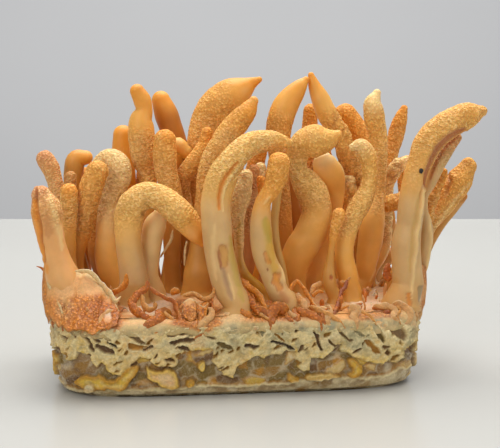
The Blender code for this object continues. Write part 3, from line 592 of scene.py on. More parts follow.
# Each club's foot on the block (x, y), its radius there, and the points of its middle line: across, up, depth
# y, radius
clubs = {
    "front_club_1": ((-42, -14), 4.6, [(-46.3, -14.5, -14, 4.4), (-48, -9.5, -14, 3.4),
        (-49.3, -5.25, -14, 3.2), (-50.5, -0.25, -14, 3.6), (-51.1, 4.4, -14, 3.8), (-52.1, 7.1, -14, 2.5)]),
    "front_club_2": ((-27.5, -9), 3.9, [(-29, -14, -9, 3.7), (-29.5, -10.25, -9, 3.5), (-30.5, -4, -9, 3.3),
        (-30.25, 1, -9, 3.6), (-29, 5, -10, 3.7), (-25.75, 7.25, -10, 3.25), (-22, 6.25, -11, 3.25),
        (-18.5, 3.5, -12, 3.4), (-15.5, 0.25, -12, 3.2), (-13.25, -3, -13, 2.2), (-12, -4.75, -13, 1)]),
    "front_club_3": ((-21.5, -3.5), 2.6, [(-25.5, -13, -4, 2.6), (-25.2, -9, -4, 2.6), (-24.5, -3.5, -4, 2.8),
        (-23.6, 0, -4.5, 2.8), (-22.4, 2.2, -5, 1.9)]),
    "front_club_4": ((-1, -22), 3.3, [(-5.25, -16.5, -21, 3.6), (-6.75, -11.5, -20, 3.75),
        (-7.75, -6.5, -19, 3.75), (-8.25, -1.5, -19, 3.75), (-8.5, 6, -18, 3.75), (-7, 11.5, -18, 3.75),
        (-4.25, 16, -18, 3.25), (-0.75, 19.5, -17, 3), (3.75, 20.75, -16, 2.75), (7.5, 20.75, -15, 2),
        (9.5, 20.25, -15, 1.25)]),
    "front_club_5": ((7.5, -8), 1.5, [(1.25, -15, -9, 1.25), (-1, -12.75, -9, 1.1), (-2.5, -9, -9, 1),
        (-2.75, -4, -9, 1.25), (-3, 2.25, -9, 1.75), (-2.25, 7.25, -9, 2.5), (-1, 12, -9, 1.75)]),
    "front_club_6": ((12, -21), 2.9, [(7.25, -17.25, -21, 2.5), (5.5, -12.75, -20, 2.75),
        (3.5, -7.75, -20, 2.75), (2.75, -2.75, -20, 2.75), (2.75, 2.25, -20, 2.4), (3.5, 6, -20, 2),
        (5.25, 8.5, -20, 2.25), (6.5, 11.5, -20, 2.75), (7.25, 15.25, -20, 2.75)]),
    "front_club_7": ((13, -12), 1.3, [(8, -12, -12, 1.2), (6.5, -5, -12, 1.1), (6, 0, -12, 1.15),
        (6.5, 4.5, -12, 1.1), (7, 9, -12, 1)]),
    "front_club_8": ((26, -15), 1.7, [(20, -15.5, -15, 1.6), (19.75, -12.75, -15, 1.5), (20, -9.5, -15, 1),
        (20.5, -5.25, -15, 0.8), (21.25, -1, -15, 1.25), (22.25, 2.5, -15, 1.6)]),
    "front_club_9": ((31.5, -10), 2.6, [(25, -15.5, -10, 2.3), (24.5, -12.75, -10, 2.5),
        (23.5, -7.75, -10, 2.4), (24, -2.75, -10, 2.5), (25.75, 1.5, -10, 2.4), (27.75, 5.25, -10, 2.5),
        (29.5, 9.25, -10, 2.1), (30, 13.5, -10, 2), (29.25, 17.25, -10, 2.25), (27.25, 19.5, -10, 1.9),
        (25.75, 19.25, -10, 1)]),
    "front_club_10": ((43.4, -17), 4.1, [(39.4, -15, -16, 3.9), (39.2, -11.5, -16, 3.75),
        (39, -5.25, -16, 3.7), (39.75, -0.25, -16, 3.2), (40.25, 3.5, -16, 3.4), (40.5, 7.25, -16, 3.1),
        (41.5, 12.25, -16, 3.1), (42.75, 16, -16, 3.3), (44.4, 19.8, -16, 3.6), (47.6, 23.4, -16, 3.7),
        (51.75, 26, -16, 3.45), (55.5, 27.5, -16, 2.9), (58, 28.25, -16, 1.3)]),
    "front_club_11": ((46, -10.3), 1.5, [(42.7, -11.5, -10.3, 1.4), (43.5, -5.5, -11.4, 1.8),
        (44, -1.5, -12, 1.8), (43.3, 2.8, -12, 1.2), (43.4, 6.8, -12, 1.15), (45.2, 10.4, -12, 1.4),
        (47, 14.6, -12, 1.7), (49.2, 18.4, -11.7, 1.7), (51.7, 21.6, -11.7, 1.2)]),
    "middle_club_1": ((-43.5, 10), 2, [(-46, -8, 10, 1.9), (-48, 2, 10, 2), (-48.25, 9, 9.5, 2.1),
        (-49, 11.5, 9.5, 2), (-50, 14.25, 9.5, 2.25), (-51.25, 16.25, 9.5, 2.2)]),
    "middle_club_2": ((-43.8, 4.8), 1.4, [(-46.3, -8, 5.5, 1.1), (-46.1, 2, 5.9, 1.3), (-45, 8.8, 6.7, 1.6),
        (-44.9, 11.75, 6.7, 1.5)]),
    "middle_club_3": ((-39.5, -1), 1.8, [(-44.75, -11, -1, 1.6), (-45.25, -5.25, -1, 1.8),
        (-45.25, 2.25, -1, 2), (-45.25, 8, -1, 2.2)]),
    "middle_club_4": ((-38.6, 3.4), 1.7, [(-42.9, -11, 3.1, 1.5), (-42.9, -5.25, 3, 2.1),
        (-41.6, -0.9, 3, 2.4), (-40.6, 4, 2, 2.5), (-39.6, 9.5, 1, 2.9), (-38.2, 13.2, 1, 2.7)]),
    "middle_club_5": ((-31.5, 5), 3.3, [(-35.5, -9.5, 5, 3.1), (-36, -2.75, 6, 2.5), (-35.75, 3, 7, 2.4),
        (-34.75, 8, 8, 3), (-33, 12, 8, 3.4), (-33.25, 15.1, 8, 3.1), (-35.5, 16.4, 9, 2.4),
        (-37.9, 15.1, 10, 1.7)]),
    "middle_club_6": ((-16, 7), 2.2, [(-19.5, -10, 6, 2), (-19.5, -2, 5, 2.3), (-19.5, 7.25, 4, 2.7),
        (-21, 13.5, 4, 2.8), (-21.25, 17.25, 4, 3), (-21.25, 21, 4, 2.7)]),
    "middle_club_7": ((-11, 10.5), 1.9, [(-15.5, -6, 10.5, 1.8), (-16.25, 4, 10, 1.9), (-16.75, 11.5, 8, 2.1),
        (-14.75, 14.5, 6, 2.3), (-12.5, 17.25, 5, 2.25), (-11, 20.25, 5, 1.9), (-10.75, 22.75, 5, 1.5)]),
    "middle_club_8": ((-9.5, 1), 4, [(-12.75, -12.5, 0, 3.9), (-12.5, -9.5, 0, 3.3), (-11.75, -1.5, 0, 2.8),
        (-11.25, 6, -1, 2.4), (-10.75, 13, -2, 2.3), (-9.5, 16, -2, 2.75), (-7.25, 19.25, -2, 3.1),
        (-5.25, 22.75, -2, 3.1), (-2.75, 25.75, -2, 2.9), (-0.5, 28.5, -2, 2.3), (0.9, 30.75, -2, 1.2)]),
    "middle_club_9": ((4, -2), 1.8, [(0, -8, -3, 1.6), (0.25, 0, -3, 1.7), (0.5, 8, -3, 1.5),
        (1, 13.5, -3, 1.4)]),
    "middle_club_10": ((5, -5.5), 0.9, [(2.5, -8, -7, 0.8), (2.75, 2, -8, 0.7), (2.75, 8, -8, 0.8),
        (2.75, 11, -8, 1.1)]),
    "middle_club_11": ((7.5, 4), 1.9, [(3, -6, 3, 1.8), (3, 4, 3, 1.8), (2.75, 10, 3, 1.6),
        (2.6, 14, 3, 1.4)]),
    "middle_club_12": ((17, -3), 2.8, [(11.25, -15, -3, 2.6), (11, -11, -3, 3.5), (12.5, -6.5, -3, 4),
        (14.5, -3.5, -3, 4), (16.25, 0.5, -3, 4), (16.75, 4, -3, 3.75), (15.75, 7.25, -3, 3.9),
        (13.75, 10.5, -3, 3.5), (12, 13.5, -3, 2.5), (12, 17.25, -3, 2.75), (13.25, 19.75, -4, 3.5),
        (16.25, 20.75, -5, 4.1), (19.5, 21.25, -6, 3), (22, 22.5, -7, 1)]),
    "middle_club_13": ((23, 5), 3.3, [(16.5, -12.75, 5, 3), (18, -7, 5, 2.8), (20, -1.5, 4, 2.5),
        (21, 3.5, 3, 2), (21.5, 8, 3, 2.2), (20.5, 12, 2, 3.2), (18.75, 14.5, 2, 3.2)]),
    "middle_club_14": ((30, 9), 2.1, [(24.5, -4, 9, 2), (24.75, 3, 8.5, 2.1), (24.5, 8, 8.5, 2.3),
        (24.5, 10.25, 8.5, 2)]),
    "middle_club_15": ((37, 2), 2.2, [(28.75, -14, 2, 1.9), (29, -10.25, 2, 2.5), (30, -4, 2, 3),
        (30.5, 1, 2, 3), (31.75, 6, 2, 2), (32.5, 11, 2, 1.5), (32.75, 16, 2, 1.6), (32.25, 21, 3, 2.1),
        (31, 27.25, 3, 2.6), (30.75, 30.25, 3, 2.25), (31.75, 32.75, 3, 1)]),
    "middle_club_16": ((45.5, 1.8), 1.7, [(41, -4, 2, 1.8), (41, 1.5, 2.5, 2), (39.5, 5, 4, 2.2),
        (36.5, 5.5, 6, 2.2), (34.5, 5, 6.5, 2)]),
    "middle_club_17": ((45, -6.8), 1.1, [(43.5, -8, -7, 1.1), (44.5, 0, -8, 1.2), (45.5, 6, -8.5, 1.4),
        (47, 9.25, -8.5, 1.3), (48.5, 13, -8.5, 1)]),
    "middle_club_18": ((45.5, -2.8), 1.8, [(42.2, -10, -3, 1.7), (43.4, -3, -3, 1.9), (44.8, 0, -4, 2.1),
        (47.3, 3.2, -4, 2.4), (50.2, 7.4, -4, 3), (52.5, 11.1, -4, 3.2), (54.6, 14.5, -4, 2)]),
    "middle_club_19": ((46, 6), 1.3, [(43.4, -8, 5.5, 1.2), (45.3, -4, 4.5, 1.25), (47.7, 0.2, 2.8, 1.35),
        (50.6, 3.8, 2.6, 1.4), (53.2, 6.9, 2.5, 1.2)]),
    "back_club_1": ((-41.5, 22), 2.4, [(-42, -8, 22, 2.4), (-42.5, 0, 22, 2.6), (-41.5, 7, 22, 2.6),
        (-41, 12, 22, 2.2)]),
    "back_club_2": ((-41, 17.2), 1.9, [(-43.6, -4, 16, 1.7), (-44.4, 9, 16, 2), (-44.1, 12.8, 16, 2.4),
        (-43.2, 16.2, 16, 2.4), (-41.1, 16.6, 16, 1.8)]),
    "back_club_3": ((-35.6, 14.2), 2.2, [(-38.6, -6, 14.5, 2.1), (-38.6, 4, 15, 2.1), (-37.6, 10, 16, 2.1)]),
    "back_club_4": ((-29.5, 22.5), 2.5, [(-31.5, -4, 22.5, 2.4), (-31.5, 12, 22.5, 2.8),
        (-31.9, 18.5, 22.5, 2.7), (-31.75, 22.25, 22.5, 2.5)]),
    "back_club_5": ((-23.5, 13), 2.7, [(-25.5, -4, 13, 2.5), (-25.25, 5, 13, 2.4), (-25.5, 11, 13, 2.2),
        (-26, 13.5, 13, 2.2), (-26.75, 16, 13, 2.9), (-27, 19.75, 13, 3.3), (-27.25, 23.5, 13, 3.4),
        (-27.25, 26, 13, 3), (-26.5, 28.5, 13, 2.2), (-27, 31, 13, 2.25), (-28.2, 33.2, 13, 1.8)]),
    "back_club_6": ((-21.5, 23), 2.5, [(-25.5, -6, 24, 2.4), (-26.25, 6, 24, 2.5), (-25.75, 14, 24, 2.4),
        (-25.5, 17.5, 24, 2)]),
    "back_club_7": ((-16.5, 15.5), 2.5, [(-18.5, -4, 15.5, 2.4), (-19.5, 8, 14, 2.5), (-19.5, 16, 12.5, 2.6),
        (-18.25, 19.25, 11.5, 2.6), (-16.25, 18, 11, 1.8)]),
    "back_club_8": ((-14, 23.5), 2.6, [(-17, -4, 23, 2.5), (-17.25, 8, 22.5, 2.6), (-18.75, 21, 22, 2.8),
        (-19.75, 24, 22, 2.9), (-21, 27.75, 22, 2.9), (-22.25, 31, 22, 2.3)]),
    "back_club_9": ((-7, 15), 3.1, [(-12, -8, 15, 3), (-13, 3, 15.5, 2.8), (-12.75, 10, 15.5, 3),
        (-12.2, 16, 15.5, 3.6), (-11.2, 22, 15.5, 4.4), (-9.1, 26.8, 15.5, 5.1), (-6.3, 30.4, 15, 5.1),
        (-3.8, 32.6, 14, 4.3), (-1.4, 34.1, 13.5, 2.9), (0.6, 35.3, 13, 1.5), (2.3, 36.1, 12, 0.75)]),
    "back_club_10": ((-3, 24.5), 2.5, [(-6, -4, 24.5, 2.5), (-8, 8, 24.5, 2.7), (-9, 17, 24.5, 2.6),
        (-9, 22, 24.5, 2.2)]),
    "back_club_11": ((0, 9), 2.2, [(-3, -6, 9, 2.1), (-4, 3, 9, 2.3), (-4.4, 9, 9, 2.1), (-3.6, 14, 9.5, 2),
        (-2.6, 16.9, 10, 1.7)]),
    "back_club_12": ((6, 20), 2.3, [(1, -4, 20, 2.3), (0, 5, 20, 2.4), (0.6, 11, 20, 2.2),
        (1.6, 15.4, 20, 2.2), (2.6, 18.6, 20, 1.9)]),
    "back_club_13": ((13, 8.5), 2.1, [(8.5, -6, 8.5, 2), (8.25, 4.75, 8.5, 2), (7.5, 13, 8.5, 2.2),
        (7.1, 20, 8.5, 2.9), (7.4, 25.2, 8.5, 3.2), (8.3, 28.1, 8.5, 3.3), (9.8, 30.9, 8.5, 3),
        (11.6, 33.3, 8.5, 2.4), (13, 35, 8.5, 1.6), (14, 36.1, 8.5, 0.8)]),
    "back_club_14": ((14.5, 16), 2.8, [(10, -8, 16, 2.7), (10.25, 0.5, 16, 2.8), (9.5, 8, 16, 2.6),
        (9, 14, 16, 2.4)]),
    "back_club_15": ((14.5, 24), 2.2, [(12.5, -2, 24, 2.1), (13.5, 8, 24, 2.2), (14.5, 18, 24, 2.2),
        (14.9, 24, 24, 2), (15.1, 28.3, 24, 1.8)]),
    "back_club_16": ((23.5, 20), 2.5, [(19, -4, 20, 2.4), (19, 6, 20, 2.6), (18.5, 13, 20, 2.5),
        (18.25, 17.5, 19, 2.2)]),
    "back_club_17": ((31.5, 15), 2.6, [(27, -4, 15, 2.4), (27.75, 4, 15, 2.3), (27.25, 11, 14, 2.3),
        (25.5, 14.75, 12, 2.75), (23.75, 18.5, 10, 2.5), (22.75, 22.25, 10, 2.4), (20.5, 25.5, 10, 2.5),
        (18.75, 28.5, 10, 2.5), (17.5, 31.5, 10, 2.25), (16, 34.75, 10, 1.5), (15.25, 37.25, 10, 0.75)]),
    "back_club_18": ((29.5, 24.5), 2.2, [(24.5, -4, 25, 2.1), (25, 6, 25, 2.3), (25, 13, 25, 2.1)]),
    "back_club_19": ((36.5, 22), 2.5, [(30.5, -4, 21.5, 2.4), (29.75, 6, 21.5, 2.5), (29.5, 14, 21, 2.6),
        (28.75, 19.75, 21, 2.7), (26.6, 23.6, 21, 2.75), (23.8, 27.3, 21, 2.8)]),
    "back_club_20": ((41, 9.5), 1.4, [(33.75, -6, 10.5, 1.2), (34.25, -1, 12, 1.3), (34.25, 4, 13, 1.4),
        (34.4, 10.25, 12, 1.7), (35.7, 12.8, 10, 1.8), (37.6, 15, 9, 1.8), (39.5, 16, 9, 1.3)]),
    "back_club_21": ((42.5, 17), 1.8, [(34.75, -2, 17, 1.6), (34, 11.5, 17, 1.3), (34.75, 14.75, 17, 1.5),
        (35.5, 18.5, 17, 1.8), (36.5, 22.25, 17, 2), (37.5, 26, 17, 1.8), (38.5, 28.75, 17, 1)]),
    "back_club_22": ((45.5, 22), 2, [(39.6, -4, 23, 2), (40.2, 4, 23, 2), (38.8, 9.5, 23, 1.9),
        (38.2, 13, 23, 1.4)]),
}


def clubTube(name, thin):
    # a circle of changing radius carried along the club's curved line, wider at the foot and closed by a
    # round tip; gives the rings, the share of the length at each, and its radius
    root, foot, points = clubs[name]
    base = clubShape["matTop"] + clubShape["gap"]
    below = [*root, base - clubShape["sink"], foot]
    knots = [below, [*root, base, foot], [*root, base + clubShape["footRise"], foot]]
    if name in clubShape["leaning"]:
        knots = [below, [*root, base - clubShape["leanDrop"], foot]]
    step = clubShape["rowStep"][name.split("_")[0]]
    line, along = evenStations(smoothRoute(knots + pushBack(points).tolist(), 16), step)
    flare = clubShape["flare"] * np.minimum(foot, clubShape["widestFlare"])
    line[:, 3] += flare * np.exp(-np.maximum(line[:, 2] - base, 0) / clubShape["flareRise"])
    heading, side, back = crossAxes(line[:, :3])
    turn = np.radians(np.linspace(0, 90, clubShape["tipRings"] + 1)[1:-1])
    end = line[-1, 3]
    centres = np.vstack([line[:, :3], line[-1, :3] + heading[-1] * end * np.sin(turn)[:, None]])
    radii = np.concatenate([line[:, 3], end * np.cos(turn)])
    side, back = (np.vstack([way, np.repeat(way[-1:], len(turn), axis=0)]) for way in (side, back))
    share = np.concatenate([along, along[-1] + end * np.sin(turn)]) / (along[-1] + end)
    count = int(np.clip(round(2 * math.pi * np.percentile(radii, 80) / step), *clubShape["around"]))
    squash = 1 - (1 - thin) * ease(0.25, 0.6, share)[:, None, None]
    ways = outwardWays(fullTurn(count), side, back, squash)
    return centres[:, None] + radii[:, None, None] * ways, share, radii


def markedSkin(name, seed, coat, normals, wander, rough):
    # along each mark the skin sinks or swells by height * exp(-(distance / width)^2), with a low rim beside a
    # groove, and takes the mark's colour; only where it faces the eye
    flat = coat.points
    u, w = paneOf(flat)
    facing = ease(-0.15, 0.2, normals @ (-forward))
    ragged = softNoise(flat, clubGrain["ragged"], seed + 14)
    move = np.zeros(len(flat))
    for path, halfWidth, height, colour, strength, taper in marks.get(name, []):
        shift = halfWidth * ragged
        gap, place = nearPath(u + 0.15 * wander + 0.4 * shift, w + 0.3 * shift, path)
        ends = np.sqrt(np.clip(4 * place * (1 - place), 0, 1)) if taper else 1.0
        width = halfWidth * (0.35 + 0.65 * ends) if taper else halfWidth
        hold = (bell(gap, 0, width) if taper else ease(1.35, 0.65, gap / width)) * facing
        move = move + height * hold * ends
        if height < -0.3:
            move = move + 0.3 * abs(height) * bell(gap, 1.9 * width, 0.7 * width) * facing
        coat.lay(colour, strength * np.clip(1.25 * hold, 0, 1))
        # painted shade: a burnt band along the edge of each groove of even width
        if not taper and height < -0.1:
            coat.lay("burnt", 0.45 * bell(gap / width, 1.0, 0.22) * facing)
        rough = rough * (1 - 0.8 * hold * (height < 0))
    return move, rough


def clubSkin(name, seed):
    # the tube, moved out along its own normals by slow swells, pebbled grain, wrinkles, knobs and the marks
    stem, head, tip, roughFrom, roughTo, grain, wrinkle, thin = skins.get(name, rowSkin)
    surface, share, radii = clubTube(name, thin)
    normals = gridNormals(surface).reshape(-1, 3)
    flat = surface.reshape(-1, 3)
    where, wide = (np.repeat(values, surface.shape[1]) for values in (share, radii))
    wander = softNoise(flat, clubGrain["wander"], seed + 3)
    rough = ease(roughFrom - 0.09, roughFrom + 0.09, where + 0.05 * wander)
    rough = rough * (1 - ease(roughTo - 0.07, roughTo + 0.05, where + 0.03 * wander))
    near, _, _ = pebbles(flat, clubGrain["pimples"], seed + 5)
    shifted = flat + 0.35 * softNoise(flat, 0.9, seed + 12)[:, None]
    knobs, _, _ = pebbles(shifted, clubGrain["knobs"], seed + 11)
    ropy = rough * ropes.get(name, 0.0)
    folds = 1 - np.abs(softNoise(flat * np.array([1.0, 1.0, 1.35]), clubGrain["folds"], seed + 9))
    folds = folds - 0.5 * np.abs(softNoise(flat, clubGrain["folds"] / 2, seed + 10))
    move = layered(flat, clubGrain["swell"], seed + 1, 2) * 0.055 * wide
    move = move + rough * (grain * 1.5 * (0.55 - near) + wrinkle * 1.25 * (folds - 0.45))
    move = move + 0.03 * softNoise(flat, clubGrain["fine"], seed + 2) + ropy * 0.62 * (0.5 - knobs)
    coat = Coat(flat, tones, stem)
    coat.lay(head, ease(roughFrom - 0.22, roughFrom + 0.06, where + 0.04 * wander))
    coat.lay(tip, ease(0.84, 0.97, where + 0.02 * wander))
    base = clubShape["matTop"] + clubShape["gap"]
    coat.lay("tan", 0.45 * (1 - ease(base + 0.5, base + 9.0, flat[:, 2])))
    coat.lay("light", 0.25 * coat.patch(0.1, 0.8, 5.0, seed + 21, 2))
    coat.lay("brown", 0.22 * coat.patch(0.1, 0.8, 6.0, seed + 22, 2) * (1 - 0.7 * rough))
    folded = 1 - ease(roughFrom + 0.22, roughFrom + 0.46, where + 0.06 * wander)
    folded = rough * folded * min(1.0, grain / 0.1)
    coat.lay("light", 0.16 * folded)
    # painted highlight on the tops of the pimples and knobs, burnt brown painted shade in the furrows between
    # the knobs, and painted shade dimming the valleys between pimples and the troughs of the wrinkles
    coat.lay("light", rough * 0.12 * ease(0.48, 0.15, near) * (grain > 0.06))
    coat.lay("burnt", 0.5 * ropy * ease(0.5, 0.85, knobs))
    coat.lay("light", 0.3 * ropy * ease(0.4, 0.1, knobs))
    coat.dim(rough * (0.10 * ease(0.45, 0.85, near) + 0.08 * wrinkle / 0.12 * ease(0.45, 0.15, folds)))
    marked, rough = markedSkin(name, seed, coat, normals, wander, rough)
    return inRings(surface, flat + normals * (move + marked)[:, None], coat.paint, rough=rough, fold=folded)


for number, name in enumerate(clubs):
    skin = clubSkin(name, 100 + 31 * number)
    skinPiece(name.replace("_club_", "ClubSkin"), [skin], fleshSkin, name)
print("clubs:", len(clubs), "faces:", sum(faceCount))


# Block: cooked grain bound by mycelium, crusted above, torn open lower down over glassy grain. Its levels are
# heights and how far its side stands out there; its side and back are laid out from sideStart on
block = {"halfLength": 48.6, "halfDepth": 28.0, "cornerPower": 5.0, "top": 18.6, "places": 980,
         "levels": [(0.0, -3.5), (1.0, -1.7), (2.6, -0.8), (4.5, -0.3), (10.0, 0.0), (15.5, 0.4),
                    (18.6, 0.1)], "rowGap": 0.25,
         "paneFoot": -42.9, "paneRise": 1.0, "sideStart": 300.0, "frontLine": -15.0, "huskGap": 3.6,
         "flapGap": 9.0, "flap": (3.4, 2.3), "sideEdge": -31.6, "sideLedge": -40.7}
crust = palette(
    cream="D6B774", pale="E8D5A0", grey="ABA077", peach="DFB27A", yellow="DCB444", amber="B87E18",
    olive="7C6222", brown="6C481C", glassy="8E6C3E", dark="46321A", strip="D4C094", white="DCCCA8",
    orange="CC7A32", rust="7C481E", honey="946A20")

# The crust's torn lower edge on the front, on the pane
crustEdge = [(-52, -30), (-48.5, -29.8), (-46.2, -34), (-43.3, -33.7), (-43.2, -31.6), (-41.3, -32.4),
             (-38.5, -36.2), (-37.2, -34.6), (-35.6, -36.5), (-34.3, -38), (-31.5, -37.5), (-28.2, -36.2),
             (-28.1, -34), (-26, -33.7), (-23.8, -35.6), (-19.6, -36.2), (-18, -35), (-17.4, -33),
             (-16.1, -31.8), (-13.5, -31.4), (-9.6, -31.4), (-9.5, -34.2), (-7.6, -36.8), (-6.2, -38.3),
             (-3.9, -38.8), (-3.2, -35.9), (-0.5, -34), (0.75, -32.7), (3.3, -33.7), (4.9, -33), (7.4, -33),
             (9, -31.8), (11.7, -32.1), (11.8, -35.6), (13.4, -37), (14.9, -36.6), (15.3, -33.7),
             (18.6, -33.4), (22.3, -29.9), (22.8, -31.8), (24.3, -31.8), (26.2, -33.2), (30.1, -34.3),
             (32.9, -35.4), (34.2, -34), (36.8, -35), (38.4, -33.7), (38.6, -31.4), (40.9, -29.5), (44, -30)]

# Torn flaps of crust lower down: a closed outline on the pane, and their colour and edge colour
flaps = [
    ([(-44.5, -39.2), (-42, -37.6), (-39.4, -38.2), (-37.5, -37.4), (-35.5, -39.6), (-33.4, -38.6),
      (-30.5, -36), (-28, -35), (-27.8, -37.2), (-30, -40), (-32.5, -42.2), (-36.25, -41.4), (-41.25, -41.9)],
      "yellow", "amber"),
    ([(-26.4, -35.4), (-24.6, -36.6), (-22.6, -37.2), (-20.6, -36.4), (-18.6, -37.2), (-17.6, -39),
      (-18.2, -41.25), (-20.75, -41.8), (-23.75, -40), (-26, -37.9)], "peach", "yellow"),
    ([(-16.4, -39.6), (-14.8, -38.8), (-13.6, -39.4), (-14, -41.2), (-16, -41.4)], "yellow", "amber"),
    ([(-13.4, -34.6), (-11.6, -34), (-10.8, -35.4), (-11.6, -37), (-13.2, -36.6)], "cream", "yellow"),
    ([(9.2, -37), (11.2, -37.6), (12.6, -38.6), (11.6, -40.2), (9.8, -39.8), (8.8, -38.4)], "yellow",
      "amber"),
    ([(24, -33.4), (26.3, -33.1), (26.9, -34.7), (29, -35.6), (27.6, -38), (25.2, -38.8), (24, -37.6),
      (25.6, -36.3), (24.6, -35.2)], "yellow", "amber"),
    ([(13.5, -37.9), (18, -37.2), (21.5, -37.6), (23.4, -38.6), (18, -39.2), (13.5, -39)], "yellow", "cream"),
    ([(0.4, -41.2), (3.4, -40.9), (6.6, -41.2), (5.8, -42.5), (1.4, -42.6)], "amber", "yellow"),
    ([(42.6, -32), (44.4, -32.4), (44.2, -36), (43, -36.4)], "yellow", "amber"),
    ([(-41.8, -41), (-40.3, -39.7), (-38.8, -40.4), (-38.4, -42), (-41.2, -42.3)], "white", "pale"),
]

# Open grain husks in the crust: two ends, half width, colour
husks = [((-42, -27), (-38.75, -32), 0.45, "brown"), ((-38.25, -30.5), (-34.5, -32.25), 0.75, "brown"),
    ((-38, -27.75), (-34.5, -29), 0.45, "glassy"), ((-40.75, -25.75), (-37.5, -29.5), 0.75, "brown"),
    ((-31.25, -27), (-26.25, -29.5), 0.7, "glassy"), ((-30, -30.25), (-25.5, -31.5), 0.75, "amber"),
    ((-20.5, -27.6), (-12.5, -26.4), 0.75, "rust"), ((-20, -29.7), (-14.25, -29), 0.7, "brown"),
    ((-18, -31), (-15, -31.5), 0.55, "brown"), ((-8.1, -30), (-4.9, -31), 0.65, "olive"),
    ((-1.25, -30.1), (2.1, -31), 0.6, "brown"), ((2.75, -24.5), (3.5, -27.5), 0.75, "grey"),
    ((5.6, -29.5), (11, -31.4), 0.45, "dark"), ((6.3, -27.8), (8.6, -29.2), 0.4, "amber"),
    ((13.4, -30), (12.6, -32), 0.45, "glassy"), ((15.3, -23.2), (18.1, -26), 0.8, "amber"),
    ((11, -26), (15, -23.2), 0.5, "glassy"), ((15.6, -26.6), (17.9, -31.5), 0.45, "brown"),
    ((21.4, -25.9), (25.4, -29.1), 0.4, "glassy"), ((29, -29.2), (32.3, -32.2), 0.75, "amber"),
    ((31, -25.3), (33.5, -29.4), 0.8, "olive"), ((35, -24.6), (38.6, -28.2), 1.7, "glassy"),
    ((-47.3, -27.5), (-45.6, -29.5), 0.4, "glassy"), ((-45, -25.4), (-43.6, -28.2), 0.4, "brown"),
    ((-24.4, -25.9), (-21.9, -27.2), 0.4, "dark"), ((-11.5, -27.6), (-8.6, -28.8), 0.45, "glassy"),
    ((-35.4, -29.8), (-33.2, -30.8), 0.35, "dark"), ((-26.6, -31.8), (-24.2, -30.6), 0.3, "brown"),
    ((-5, -27.2), (-2.6, -26.4), 0.35, "glassy"), ((8.6, -25.6), (10.2, -26.8), 0.45, "olive"),
    ((19.4, -29.3), (21.6, -30.8), 0.35, "glassy"), ((26.2, -26.8), (28.6, -27.9), 0.4, "grey")]

# The thin ledge above the bottom strip, on the pane
ledge = [(-52, -40), (-44, -41.6), (-40, -42), (-20, -41.5), (-12.5, -40.75), (0, -40.75), (8.75, -40),
         (12.5, -39.25), (22.5, -38.75), (33.75, -38.25), (37.5, -36.75), (43.25, -34.5)]


def slabShare(angle):
    # how far the rounded rectangle |x/a|^p + |y/b|^p = 1 lies beyond the oval (a cos, b sin) at an angle
    power = block["cornerPower"]
    return (np.abs(np.cos(angle)) ** power + np.abs(np.sin(angle)) ** power) ** (-1 / power)


def slabPoint(angle, spread, height):
    # a point of the outline, or of one that lies further out or in by the spread
    share = slabShare(angle)
    return np.stack([(block["halfLength"] + spread) * np.cos(angle) * share,
                     (block["halfDepth"] + spread) * np.sin(angle) * share, height + 0 * angle], axis=-1)


def slabRings(angle, height, shares):
    # rings of the outline drawn in to shares of its size
    return [slabPoint(angle, 0, height) * np.array([share, share, 1.0]) for share in shares]


def blockOutline(count):
    # angles of places at equal gaps along the outline, closer together along its front
    angle = fullTurn(6000)
    points = slabPoint(angle, 0, 0.0)[:, :2]
    steps = np.linalg.norm(np.roll(points, -1, axis=0) - points, axis=1)
    frontal = ease(-16.0, -24.0, points[:, 1])
    reach = np.concatenate([[0.0], np.cumsum(steps * (1 + 0.6 * frontal))])
    where = np.interp(np.linspace(0, reach[-1], count, endpoint=False), reach, np.arange(len(reach)))
    return np.interp(where, np.arange(len(reach)), np.append(angle, 2 * math.pi))


def insideOutline(u, w, outline):
    # odd number of outline edges crossed to the right of a point means it is inside
    inside = np.zeros(u.shape, bool)
    for (u1, w1), (u2, w2) in zip(outline, outline[1:] + outline[:1]):
        crosses = (w1 > w) != (w2 > w)
        inside ^= crosses & (u < (u2 - u1) * (w - w1) / (w2 - w1 + 1e-12) + u1)
    return inside


def rounded(outline):
    # each corner cut at a quarter of both its sides, and once more
    points = np.array(outline, float)
    for _ in range(2):
        after = np.roll(points, -1, axis=0)
        points = np.stack([0.75 * points + 0.25 * after, 0.25 * points + 0.75 * after], axis=1).reshape(-1, 2)
    return points.tolist()


def randomBits(seed, length):
    # husks and flaps for the sides that the photograph doesn't show, laid out along the outline
    draw = np.random.default_rng(seed)
    moreHusks, moreFlaps = [], []
    names = ["dark", "brown", "glassy", "olive", "amber", "grey"]
    for n in range(int(length / block["huskGap"])):
        middle = np.array([block["sideStart"] + draw.uniform(0, length), draw.uniform(-31.5, -25.2)])
        lean = draw.normal(-0.6, 0.6)
        step = np.array([math.cos(lean), math.sin(lean)]) * draw.uniform(1.0, 2.9)
        moreHusks.append((middle - step, middle + step, draw.uniform(0.35, 0.85), names[draw.integers(6)]))
    pairs = [("cream", "pale"), ("yellow", "amber"), ("peach", "yellow"), ("cream", "yellow"),
             ("pale", "cream")]
    for n in range(int(length / block["flapGap"])):
        a = block["sideStart"] + block["flapGap"] * n + draw.uniform(0, 6.0)
        b = draw.uniform(-38.5, -33.0)
        turns = np.sort(draw.uniform(0, 2 * math.pi, 9))
        reach = draw.uniform(0.5, 1.25, 9)
        outline = [(a + block["flap"][0] * r * math.cos(t), b + block["flap"][1] * r * math.sin(t))
                   for t, r in zip(turns, reach)]
        moreFlaps.append((outline, *pairs[draw.integers(5)]))
    return moreHusks, moreFlaps


